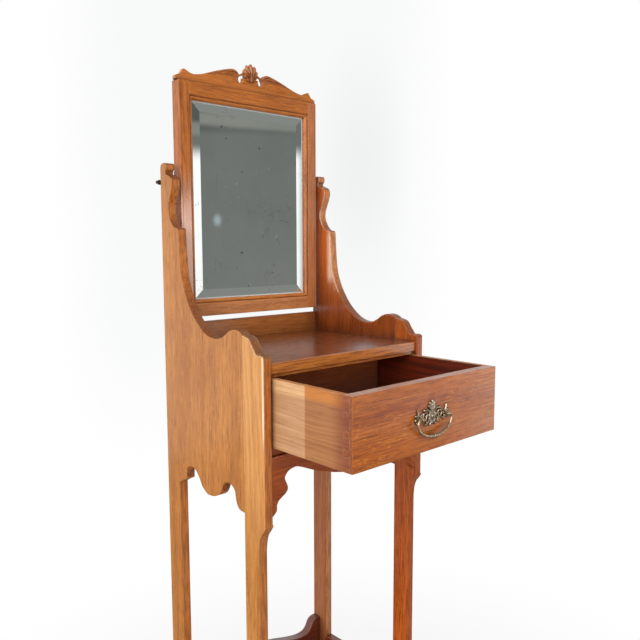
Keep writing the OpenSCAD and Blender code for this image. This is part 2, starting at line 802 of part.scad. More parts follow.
// Left half of the pierced back plate's outline as (X, Z) about the posts' line
plate_upper = curve([[-post_x - 12, -1], [-post_x - 11, 5], [-post_x - 7.5, 9.5],
                     [-post_x - 4.5, 16.5], [-post_x - 1, 11], [-post_x + 4, 7.5], [-26, 8.5],
                     [-23.5, 12.5], [-20.5, 14.8], [-17, 12.5], [-14, 11], [-11, 14],
                     [-10, 19], [-7.5, 23.5], [-3.5, 25.5], [0, 29]]);
plate_lower = curve([[0, -13.5], [-3.5, -13], [-7, -15.8], [-10, -12.5], [-14, -11.8],
                     [-19, -14.2], [-22, -9.5], [-26, -7], [-post_x + 3, -8.5],
                     [-post_x - 2, -10.2], [-post_x - 8, -8.2], [-post_x - 12, -1]]);
plate_left = concat([for (i = [0:len(plate_lower) - 2]) plate_lower[i]], plate_upper);

module handle_plate() {
  color(brass) translate([0, 0, handle_z]) difference() {
    board_y(drawer_face - escutcheon_t, escutcheon_t) difference() {
      polygon(concat(plate_left, flip_x(plate_left)));
      for (s = [-1, 1]) {
        translate([s * 19.5, 2]) circle(3.2);
        translate([s * 12, 6.5]) circle(2);
        translate([s * 14, -6.5]) circle(2.2);
      }
    }
    for (x = [-1, 1] * post_x)
      rod_y(drawer_face - escutcheon_t - 1, drawer_face + 1, x, 0, shank_r + run_gap);
  }
}

nut_t = 4;
post_flange_r = 6;
post_flange_t = 1.2;
neck_r = shank_r + 0.2;
module handle_posts() {
  color(brass) for (x = [-1, 1] * post_x) difference() {
    union() {
      rod_y(drawer_face - escutcheon_t, shoulder_y + nut_t + 1.5, x, handle_z, shank_r);
      rod_y(drawer_face - escutcheon_t - post_flange_t, drawer_face - escutcheon_t,
            x, handle_z, post_flange_r);
      rod_y(pin_y, drawer_face - escutcheon_t, x, handle_z, neck_r);
      rod_x(x - barrel_l / 2, x + barrel_l / 2, pin_y, handle_z, barrel_r);
    }
    rod_x(x - barrel_l, x + barrel_l, pin_y, handle_z, bail_r + run_gap);
  }
}

module handle_nuts() {
  color(brass) for (x = [-1, 1] * post_x)
    translate([x, shoulder_y, handle_z]) rotate([-90, 0, 0]) linear_extrude(nut_t)
      difference() {
        circle(5.2, $fn = 6);
        circle(shank_r + run_gap);
      }
}

// The bail: pins in the posts, upper bends, lower corners and one long bow with a turned knop.
// The bends and the bow are a little thicker than the pins and corners whose ends they take in.
bail_out = bail_half_w - bend_r;       // where a pin ends and its bend starts
corner_x = bail_half_w - corner_r;
corner_end = [corner_x + corner_r * cos(90 - bow_slope),
              -bend_r - corner_r * sin(90 - bow_slope)];
bow_r = corner_end[0] / sin(bow_slope);
bow_z = corner_end[1] + bow_r * cos(bow_slope);
thick_r = bail_r + 0.15;
taken_in = 0.4;                        // length of a pin's end inside its bend
taken_a = 2;                           // the same for a corner's ends, in degrees
pin_x = post_x - barrel_l / 2 - 0.5;   // a pin's inner end
knop_half = 7.5;
ring_r = 3.2;
ring_l = 2;
knop = concat([[0, -knop_half], [ring_r, -knop_half], [ring_r, ring_l - knop_half], [2.7, -4.5]],
              arc([0, 0], 4, -45, 45),
              [[2.7, 4.5], [ring_r, knop_half - ring_l], [ring_r, knop_half], [0, knop_half]]);

// Bent rod of radius rod in the plane of the bail: centre, radius, start angle and sweep
module bend(c, r, a0, sweep, rod) {
  translate([c[0], 0, c[1]]) rotate([90, 0, 0]) rotate([0, 0, a0])
    rotate_extrude(angle = sweep) translate([r, 0]) circle(rod, $fn = 24);
}

module bail_half() {
  rod_x(pin_x, bail_out + taken_in, 0, 0, bail_r);
  bend([bail_out, -bend_r], bend_r, 0, 90, thick_r);
  bend([corner_x, -bend_r], corner_r, bow_slope - 90 - taken_a, 90 - bow_slope + 2 * taken_a,
       bail_r);
}

module handle_bail() {
  color(brass) translate([0, pin_y, handle_z]) {
    bail_half();
    mirror([1, 0, 0]) bail_half();
    bend([0, bow_z], bow_r, 270 - bow_slope, 2 * bow_slope, thick_r);
    translate([0, 0, bow_z - bow_r]) rotate([0, 90, 0]) rotate_extrude() polygon(knop);
  }
}

// Moves the case's coordinates to the floor's: the floor at zero, the middle of the depth at zero
module place() {
  translate([0, -y_mid, shelf_floor_h]) children();
}

place() left_side_board();
place() right_side_board();
place() left_front_leg();
place() right_front_leg();
place() shelf();
place() back_board();
place() front_apron();
place() drawer_rail();
place() kicker_rail();
place() rear_rail();
place() left_runner();
place() right_runner();
place() left_kicker();
place() right_kicker();
place() drawer_stops();
place() glue_blocks();
place() back_screws();
place() tray_board();
place() tray_back_rail();
place() tray_left_rail();
place() tray_right_rail();
place() tray_blocks();
place() left_pivot_plate();
place() right_pivot_plate();
place() pivot_plate_screws();
place() left_stile();
place() right_stile();
place() top_rail();
place() bottom_rail();
place() mirror_moulding();
place() mirror_crest();
place() crest_shell();
place() mirror_glass();
place() mirror_backing();
place() backing_beads();
place() left_frame_plate();
place() right_frame_plate();
place() frame_plate_screws();
place() left_pivot_bolt();
place() right_pivot_bolt();
place() left_thumb_nut();
place() right_thumb_nut();
place() drawer_front();
place() drawer_left_side();
place() drawer_right_side();
place() drawer_back();
place() drawer_bottom();
place() handle_plate();
place() handle_posts();
place() handle_nuts();
place() handle_bail();
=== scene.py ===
"""Looks of a tall oak shaving stand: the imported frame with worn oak, carving, brass and glass."""
import math

import bpy
from mathutils import Matrix, Vector


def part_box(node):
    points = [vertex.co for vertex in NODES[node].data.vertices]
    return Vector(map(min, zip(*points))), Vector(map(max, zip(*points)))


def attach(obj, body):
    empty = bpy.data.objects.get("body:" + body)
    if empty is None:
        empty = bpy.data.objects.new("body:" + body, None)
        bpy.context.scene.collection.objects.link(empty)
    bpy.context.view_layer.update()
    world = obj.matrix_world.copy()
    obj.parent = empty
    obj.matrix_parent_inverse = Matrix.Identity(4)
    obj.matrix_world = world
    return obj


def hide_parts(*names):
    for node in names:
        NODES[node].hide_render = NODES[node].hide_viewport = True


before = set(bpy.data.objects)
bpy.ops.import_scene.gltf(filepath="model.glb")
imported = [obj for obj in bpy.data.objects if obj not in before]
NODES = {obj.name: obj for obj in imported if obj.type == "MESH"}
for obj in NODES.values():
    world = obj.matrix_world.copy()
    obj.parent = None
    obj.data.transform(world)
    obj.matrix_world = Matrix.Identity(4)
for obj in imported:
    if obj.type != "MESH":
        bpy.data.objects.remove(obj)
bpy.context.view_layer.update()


# ---------- places taken from the frame ----------

def low(node):
    return Vector(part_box(node)[0])


def high(node):
    return Vector(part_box(node)[1])


def middle(node):
    return (low(node) + high(node)) / 2


SHELF_TOP = high("shelf").z
FRAME_TOP = high("left_stile").z
CREST_FACE = low("mirror_crest").y
DRAWER_FACE = low("drawer_front").y
DRAWER_INNER = abs(high("drawer_left_side").x)
SHELF_FRONT = low("shelf").y
FRAME_HALF = high("right_stile").x
NOTCH_Y = high("left_side_board").y - 0.070  # the upright wall of the side skirts' rear notch

# The opening of the mirror's inner moulding: half width, middle height, half height
inner = [v.co.copy() for v in NODES["mirror_moulding"].data.vertices]
SIGHT_HALF = min(abs(v.x) for v in inner)
SIGHT_ENDS = [v.z for v in inner if abs(abs(v.x) - SIGHT_HALF) < 0.0001]
SIGHT = (SIGHT_HALF, (min(SIGHT_ENDS) + max(SIGHT_ENDS)) / 2,
         (max(SIGHT_ENDS) - min(SIGHT_ENDS)) / 2)


# ---------- node helpers ----------

class Tree:
    """Short calls for building a material's nodes."""

    def __init__(self, tree):
        self.tree = tree

    def node(self, kind, **settings):
        made = self.tree.nodes.new(kind)
        for name, value in settings.items():
            setattr(made, name, value)
        return made

    def feed(self, socket, value):
        if isinstance(value, bpy.types.NodeSocket):
            self.tree.links.new(value, socket)
        elif value is not None:
            socket.default_value = value

    def math(self, operation, a, b=None, c=None):
        made = self.node("ShaderNodeMath", operation=operation)
        for socket, value in zip(made.inputs, (a, b, c)):
            self.feed(socket, value)
        return made.outputs[0]

    def vector(self, operation, a, b=None):
        made = self.node("ShaderNodeVectorMath", operation=operation)
        self.feed(made.inputs[0], a)
        self.feed(made.inputs[1], b)
        return made.outputs["Value" if operation in ("DOT_PRODUCT", "LENGTH") else "Vector"]

    def split(self, vector):
        made = self.node("ShaderNodeSeparateXYZ")
        self.feed(made.inputs[0], vector)
        return made.outputs

    def join(self, x, y, z):
        made = self.node("ShaderNodeCombineXYZ")
        for socket, value in zip(made.inputs, (x, y, z)):
            self.feed(socket, value)
        return made.outputs[0]

    def noise(self, vector, scale, detail=3.0, rough=0.5, distortion=0.0):
        made = self.node("ShaderNodeTexNoise")
        self.feed(made.inputs["Vector"], vector)
        for name, value in (("Scale", scale), ("Detail", detail), ("Roughness", rough),
                            ("Distortion", distortion)):
            self.feed(made.inputs[name], value)
        return made.outputs["Fac"]

    def remap(self, value, a, b, low_out=0.0, high_out=1.0):
        """Goes smoothly from low_out to high_out while the value goes from a to b."""
        made = self.node("ShaderNodeMapRange", clamp=True, interpolation_type="SMOOTHSTEP")
        for socket, given in zip(made.inputs, (value, a, b, low_out, high_out)):
            self.feed(socket, given)
        return made.outputs["Result"]

    def mix(self, factor, a, b, blend="MIX"):
        made = self.node("ShaderNodeMix", data_type="RGBA", blend_type=blend)
        self.feed(made.inputs[0], factor)
        self.feed(made.inputs[6], a)
        self.feed(made.inputs[7], b)
        return made.outputs[2]

    def bump(self, height, strength, distance, normal=None):
        made = self.node("ShaderNodeBump")
        made.inputs["Strength"].default_value = strength
        made.inputs["Distance"].default_value = distance
        self.feed(made.inputs["Height"], height)
        self.feed(made.inputs["Normal"], normal)
        return made.outputs[0]


def linear(colour):
    """A colour written as it looks on screen, 0 to 255, as the shader takes it."""
    parts = (c / 255 for c in colour)
    return (*(c / 12.92 if c <= 0.04045 else ((c + 0.055) / 1.055) ** 2.4 for c in parts), 1.0)


def new_material(name):
    made = bpy.data.materials.new(name)
    made.use_nodes = True
    made.node_tree.nodes.clear()
    tree = Tree(made.node_tree)
    shader = tree.node("ShaderNodeBsdfPrincipled")
    out = tree.node("ShaderNodeOutputMaterial")
    tree.tree.links.new(shader.outputs[0], out.inputs[0])
    return made, tree, shader


def patina_and_painted_shade(tree, colour, depth=0.012, darkest=(0.42, 0.36, 0.32, 1.0), least=0.35):
    """Darkens a colour in corners and crevices: painted shade on wood, patina in the hollows of
    metal.
    """
    shade = tree.node("ShaderNodeAmbientOcclusion", samples=6)
    shade.inputs["Distance"].default_value = depth
    open_to_air = tree.remap(shade.outputs["AO"], least, 0.95)
    return tree.mix(open_to_air, tree.mix(1.0, colour, darkest, "MULTIPLY"), colour)


def rounded(tree, radius):
    """A normal that rounds sharp edges, and how much each point lies on one, 0 to 1."""
    soft = tree.node("ShaderNodeBevel", samples=6)
    soft.inputs["Radius"].default_value = radius
    true = tree.node("ShaderNodeNewGeometry").outputs["Normal"]
    turned = tree.math("SUBTRACT", 1.0, tree.vector("DOT_PRODUCT", soft.outputs[0], true))
    return soft.outputs[0], tree.remap(turned, 0.01, 0.14)


# ---------- oak ----------

RING = 0.0032                               # metres from one year's ring to the next
# How far each kind of noise is squeezed along the grain, then the two ways across it
SLOW_WARP = (2.4, 7.0, 7.0)
FINE_WARP = (30.0, 110.0, 110.0)
PORES = (75.0, 1500.0, 1500.0)
DASHES = (22.0, 330.0, 330.0)
FLECKS = (60.0, 230.0, 230.0)
FLECK_PATCHES = (9.0, 26.0, 26.0)
GLOSS_PATCHES = (9.0, 30.0, 30.0)
SEED_STEP = (1.7, 0.37, 0.91)               # how far a step of the seed moves a board in the tree
EDGE_STREAK = (0.55, 0.50, 0.45, 1.0)       # the streaks of a narrow face, against its tone


def over_mitres(t, part, mitred):
    """The ways along, across and into a mitred frame, whose grain turns at its corners.

    mitred is the frame's half width, its middle height and its half height."""
    half_width, mid_height, half_height = mitred
    past_side = t.math("SUBTRACT", t.math("ABSOLUTE", part[0]), half_width)
    from_middle = t.math("ABSOLUTE", t.math("SUBTRACT", part[2], mid_height))
    upright = t.math("GREATER_THAN", past_side, t.math("SUBTRACT", from_middle, half_height))
    swap = t.node("ShaderNodeMix", data_type="VECTOR")
    t.feed(swap.inputs[0], upright)
    t.feed(swap.inputs[4], t.join(part[0], part[2], part[1]))
    t.feed(swap.inputs[5], t.join(part[2], part[0], part[1]))
    return t.split(swap.outputs[1])


def in_zone(t, part, box, strength):
    """How much each point lies in a zone that has its start, end and blur on one axis or more."""
    inside = strength
    for axis, (start, end, blur) in box.items():
        reach = part["xyz".index(axis[-1])]
        if axis == "|x":
            reach = t.math("ABSOLUTE", reach)
        for a, b in ((start - blur, start + blur), (end + blur, end - blur)):
            inside = t.math("MULTIPLY", inside, t.remap(reach, a, b))
    return inside


def wood(name, light, mid, dark, grain="z", face="x", pith=(0.30, 0.05), figure=0.5, seed=0.0,
         rough=0.27, coat=0.2, coat_rough=0.12, wear=0.30, round_r=0.0022, contrast=1.0,
         crevice=0.012, edge=None, painted_edge_highlight=None, zones=(), mitred=None):
    """Oak whose rings run round a pith line, with pores, ray flecks, wear and a worn finish,
    with painted highlights on edges and painted shade in corners.

    grain and face are the axes that the grain runs along and that the board's broad face looks
    along. pith is the distance of the pith from the board in metres: across the broad face, then
    behind it. A small first number shows arches. figure is the strength of the ray flecks and
    contrast that of the rings and pores. rough, coat and coat_rough set the finish, wear and
    round_r the rounded edges, which are lightened partly as wear and partly as painted highlight,
    and crevice the reach of the painted shade in corners. edge is the tone of the narrow faces,
    partly painted light and shade of the way they face, how strong it is and the tone where they
    look up, which is painted shade; on the drawer front it is painted sheen. rubbed is the tone of
    a painted highlight on edges, the height where it starts and how strong it is. Each zone has
    its start, end and blur on one axis or more, a palette and a strength; the axis |x counts both
    ways from the middle."""
    made, t, shader = new_material(name)
    coords = t.node("ShaderNodeTexCoord")
    here = coords.outputs["Object"]
    part = t.split(here)
    if mitred:
        along, across, depth = over_mitres(t, part, mitred)
    else:
        other = [a for a in "xyz" if a not in (grain, face)][0]
        along, across, depth = (part["xyz".index(a)] for a in (grain, other, face))
    place = t.vector("ADD", t.join(along, across, depth), tuple(seed * step for step in SEED_STEP))
    along_tree = t.split(place)[0]

    def grained(squeeze, detail, roughness, distortion=0.0):
        return t.noise(t.vector("MULTIPLY", place, squeeze), 1.0, detail, roughness, distortion)

    # Rings, warped slowly along the board, each as strong or faint as its year
    wave = grained(SLOW_WARP, 2.0, 0.5)
    ripple = grained(FINE_WARP, 3.0, 0.6)
    drift = t.math("MULTIPLY_ADD", wave, 0.045, t.math("MULTIPLY", ripple, 0.0035))
    lean = t.math("MULTIPLY", along, 0.035 * (1 - figure) + 0.006)
    behind = t.math("ADD", t.math("ADD", depth, lean), pith[1])
    from_pith = t.vector("LENGTH", t.join(t.math("ADD", across, pith[0]), behind, 0.0))
    distance = t.math("ADD", from_pith, drift)
    rings = t.math("DIVIDE", distance, RING)
    age = t.math("FRACT", rings)
    early = t.math("MULTIPLY", t.remap(age, 0.0, 0.12), t.remap(age, 0.70, 0.16))
    in_year = t.join(t.math("FLOOR", rings), t.math("MULTIPLY", along_tree, 3.0), seed)
    year = t.noise(in_year, 1.7, 2.0, 0.6)
    early = t.math("MULTIPLY", early, t.remap(year, 0.34, 0.66, 0.15, 1.0))

    def banded(stretch, squeeze, detail, roughness):
        return t.noise(t.join(t.math("MULTIPLY", along_tree, stretch),
                              t.math("MULTIPLY", distance, squeeze), seed), 1.0, detail, roughness)

    wide = banded(0.9, 34.0, 3.0, 0.55)
    band = banded(3.5, 170.0, 4.0, 0.65)

    # Pores: dark dashes along the grain, closer in the early wood
    dash = grained(DASHES, 4.0, 0.72)
    pore = t.math("MULTIPLY", t.remap(grained(PORES, 2.0, 0.6), 0.54, 0.68),
                  t.math("MULTIPLY_ADD", early, 0.7, 0.3))
    streaks = t.math("MULTIPLY", t.remap(dash, 0.50, 0.62),
                     t.math("MULTIPLY_ADD", early, 0.5, 0.5))
    shine = t.remap(dash, 0.44, 0.32)

    # Ray flecks: short pale ripples across the grain, strongest on quarter-sawn boards
    fleck = t.math("MULTIPLY", t.remap(grained(FLECKS, 3.0, 0.6, 0.6), 0.56, 0.66),
                   t.remap(grained(FLECK_PATCHES, 2.0, 0.5), 0.42, 0.62, 0.1, 1.0))
    fleck = t.math("MULTIPLY", fleck, figure)

    deep = linear([c * 0.5 for c in dark])
    tone = t.mix(t.remap(wide, 0.32, 0.68), linear(dark), linear(light))
    tone = t.mix(t.math("MULTIPLY", t.remap(band, 0.30, 0.70), 0.62), linear(mid), tone)
    for where, strength, colour in ((early, 0.50 * contrast, linear(dark)),
                                    (shine, 0.55 * contrast, linear(light)),
                                    (streaks, 0.80 * contrast, linear([c * 0.78 for c in dark])),
                                    (pore, 0.55 * contrast, deep),
                                    (fleck, 0.55, linear(light))):
        tone = t.mix(t.math("MULTIPLY", where, strength), tone, colour)
    cloud = t.noise(here, 6.5, 3.0, 0.55)
    tone = t.mix(t.remap(cloud, 0.35, 0.70, 0.0, 0.28), tone, linear(dark))
    for box, palette, strength in zones:
        inside = in_zone(t, part, box, strength)
        stain = t.mix(t.remap(band, 0.3, 0.7), linear(palette["dark"]), linear(palette["light"]))
        stain = t.mix(t.math("MULTIPLY", streaks, 0.35), stain,
                      linear([c * 0.7 for c in palette["dark"]]))
        tone = t.mix(inside, tone, stain)
    # Narrow faces: their tone is partly painted light and shade of the way they face; where they
    # look up it is painted shade, and painted sheen on the drawer front
    if edge:
        looks = t.split(coords.outputs["Normal"])
        look = t.math("ABSOLUTE", looks["xyz".index(face)])
        upward = edge[2] if len(edge) > 2 else edge[0]
        narrow = t.mix(t.remap(looks[2], 0.2, 0.7), linear(edge[0]), linear(upward))
        streaked = t.mix(1.0, narrow, EDGE_STREAK, "MULTIPLY")
        narrow = t.mix(t.remap(dash, 0.4, 0.6), narrow, streaked)
        tone = t.mix(t.math("MULTIPLY", t.remap(look, 0.9, 0.5), edge[1]), tone, narrow)

    # Edges lightened, partly as wear and partly as painted highlight, painted shade in the corners,
    # small knocks
    soft_normal, at_edge = rounded(t, round_r)
    worn = t.remap(t.noise(here, 45.0, 3.0, 0.6), 0.35, 0.62, 0.25, 1.0)
    edge_wear_and_highlight = t.math("MULTIPLY", at_edge, worn)
    pale = tuple(min(255, c * 1.10 + 10) for c in light)
    tone = t.mix(t.math("MULTIPLY", edge_wear_and_highlight, wear), tone, linear(pale))
    # Painted highlight along chosen edges, above a given height
    if painted_edge_highlight:
        bright, start, strength = painted_edge_highlight
        above = t.remap(part[2], start - 0.003, start + 0.003, 0.0, strength)
        tone = t.mix(t.math("MULTIPLY", edge_wear_and_highlight, above), tone, linear(bright))
    knocks = t.remap(t.noise(here, 130.0, 2.0, 0.5), 0.70, 0.78)
    tone = t.mix(t.math("MULTIPLY", knocks, 0.35), tone, deep)
    t.feed(shader.inputs["Base Color"], patina_and_painted_shade(t, tone, crevice))

    # The finish: duller in patches and in the pores, which also lie lower
    gloss = t.remap(grained(GLOSS_PATCHES, 3.0, 0.6), 0.3, 0.7, rough - 0.05, rough + 0.09)
    t.feed(shader.inputs["Roughness"], t.math("ADD", gloss, t.math("MULTIPLY", pore, 0.2)))
    shader.inputs["Coat Weight"].default_value = coat
    shader.inputs["Coat Roughness"].default_value = coat_rough
    shader.inputs["Specular IOR Level"].default_value = 0.42
    sunk = t.math("ADD", t.math("MULTIPLY", pore, 0.7), t.math("MULTIPLY", streaks, 0.4))
    height = t.math("SUBTRACT", 1.0, sunk)
    t.feed(shader.inputs["Normal"], t.bump(height, 0.4, 0.0004, soft_normal))
    return made


# Tones as they look on screen: the ones with a middle are whole boards, the rest are zones
HONEY = dict(light=(214, 144, 68), mid=(190, 120, 50), dark=(136, 74, 22))
PALE = dict(light=(230, 164, 84), mid=(206, 136, 60), dark=(150, 86, 30))
PALEST = dict(light=(224, 164, 94), dark=(188, 122, 58))
DARK_FRONT = dict(light=(176, 96, 36), dark=(140, 66, 18))
RUDDY = dict(light=(220, 112, 36), mid=(192, 90, 22), dark=(128, 52, 10))
AMBER_LOW = dict(light=(176, 90, 26), dark=(146, 68, 14))
# Painted light on the upper inner face of the right board
AMBER_LIT = dict(light=(248, 138, 60), dark=(222, 110, 40))
AMBER = dict(light=(186, 96, 32), mid=(160, 76, 20), dark=(106, 42, 8))
FRONT = dict(light=(226, 138, 40), mid=(192, 98, 12), dark=(132, 54, 4))
FRAME = dict(light=(236, 150, 66), mid=(208, 118, 42), dark=(140, 68, 16))
FRAME_LOW = dict(light=(248, 170, 104), mid=(222, 142, 80), dark=(156, 90, 48))
CARVED = dict(light=(222, 136, 66), mid=(192, 110, 48), dark=(126, 62, 22))
# Painted groove shade: the dark ground of the carved curls
GROOVE_SHADE = dict(light=(158, 94, 54), mid=(134, 76, 42), dark=(98, 52, 28))
SPLASH = dict(light=(240, 156, 80), mid=(212, 130, 58), dark=(146, 76, 26))
# A dark line: a moulded line on the stiles, painted shadow at the crest's foot
DARK_LINE_AND_SHADOW = dict(light=(70, 34, 14), dark=(50, 24, 10))
SHELF = dict(light=(140, 74, 28), mid=(112, 54, 16), dark=(72, 30, 6))
APRON = dict(light=(198, 98, 22), mid=(166, 74, 10), dark=(104, 40, 4))
SIDES = dict(light=(230, 180, 136), mid=(208, 156, 112), dark=(168, 114, 74))
SIDES_LOW = dict(light=(196, 136, 90), dark=(172, 112, 70))
# Drawer sides: painted shade out of the case, painted light next to it and on its rim there
SIDES_SHADED = dict(light=(172, 114, 66), dark=(144, 86, 42))
SIDES_TOP = dict(light=(222, 176, 128), dark=(198, 150, 102))
SIDES_LIT = dict(light=(198, 153, 111), dark=(172, 125, 83))
ORANGE = dict(light=(198, 124, 52), dark=(172, 98, 34))
# Painted reflections of a bright room: strong glare and a softer sheen
PAINTED_GLARE = dict(light=(255, 212, 192), dark=(238, 192, 170))
PAINTED_SHEEN = dict(light=(212, 152, 116), dark=(186, 122, 86))
LEG_BACK = dict(light=(186, 122, 80), dark=(156, 92, 56))
# Painted sheen and painted highlight, laid on as zones
SHEEN = dict(light=(255, 220, 198), dark=(236, 190, 162))
ARRIS_HIGHLIGHT = dict(light=(255, 234, 210), dark=(248, 206, 168))
STAINED = dict(light=(142, 70, 44), dark=(106, 44, 24))
INNER = dict(light=(112, 34, 6), dark=(66, 20, 4))
INSIDE = dict(light=(214, 132, 70), mid=(184, 106, 50), dark=(130, 68, 30))
# Painted shade low inside the drawer
INSIDE_SHADE = dict(light=(112, 66, 46), dark=(84, 48, 34))
GLOSSY = dict(light=(142, 60, 22), mid=(108, 42, 15), dark=(66, 24, 9))
PLAIN = dict(light=(206, 164, 116), mid=(178, 132, 86), dark=(126, 84, 50))

# The narrow faces: their tone, its strength, and the tone where they look up, which is painted
# shade
SIDE_EDGE = ((206, 122, 56), 0.8, (128, 62, 20))
LEG_EDGE = ((200, 118, 56), 0.8, (104, 50, 16))
# Lighter narrow faces: painted light from the front
RIGHT_EDGE = ((216, 148, 94), 0.8, (140, 80, 40))

# How boards lie: the axis of the grain and the axis that the broad face looks along
UPRIGHT = dict(grain="z", face="x")
STANDING = dict(grain="z", face="y")
FRONTAL = dict(grain="x", face="y")
FLAT = dict(grain="x", face="z")
INWARD = dict(grain="y", face="x")

# Ends and blurs of zones, in metres
NO_START, NO_END = -1.0, 2.0                # the zone has no end on that side
SKIN = 0.0006                               # a face counts as stained this near its plane
SHARP = 0.0001                              # the blur of a zone that is one face
NEAR_CASE = SHELF_FRONT - 0.086             # the drawer sides take painted light behind this, painted shade in front of it
LEG_SIDE, LEG_FACE = low("left_front_leg").x, low("left_front_leg").y
JOINT_Y = high("drawer_front").y            # the back of the drawer front
STILE_FRONT = (NO_START, low("left_stile").y + SKIN, SHARP)
GLARE_TOP = low("left_stile").z + 0.235      # the painted glare on the left stile ends here
STILE_LINE = (FRAME_HALF - 0.0048, FRAME_HALF - 0.0038, 0.0003)

# The left leg's darker front and the painted highlight on its arris, and the painted sheen on the
# right board
LEG_FRONT = {"z": (SHELF_TOP - 0.28, NO_END, 0.01), "y": (NO_START, LEG_FACE + SKIN, 0.0003)}
LEG_ARRIS = {"x": (NO_START, LEG_SIDE + 0.0012, 0.0004),
             "y": (NO_START, LEG_FACE + 0.0040, 0.0010), "z": (SHELF_TOP - 0.13, NO_END, 0.04)}
SHEEN_AT = {"x": (NO_START, low("right_side_board").x + SKIN, SHARP), "y": (0.182, 0.2035, 0.005),
            "z": (SHELF_TOP + 0.118, SHELF_TOP + 0.228, 0.014)}

# The drawer sides: the part near the case, with painted light, and their upper rim
IN_CASE = (NEAR_CASE, NO_END, 0.0015)
SIDE_RIM = (high("drawer_left_side").z - 0.020, NO_END, 0.004)

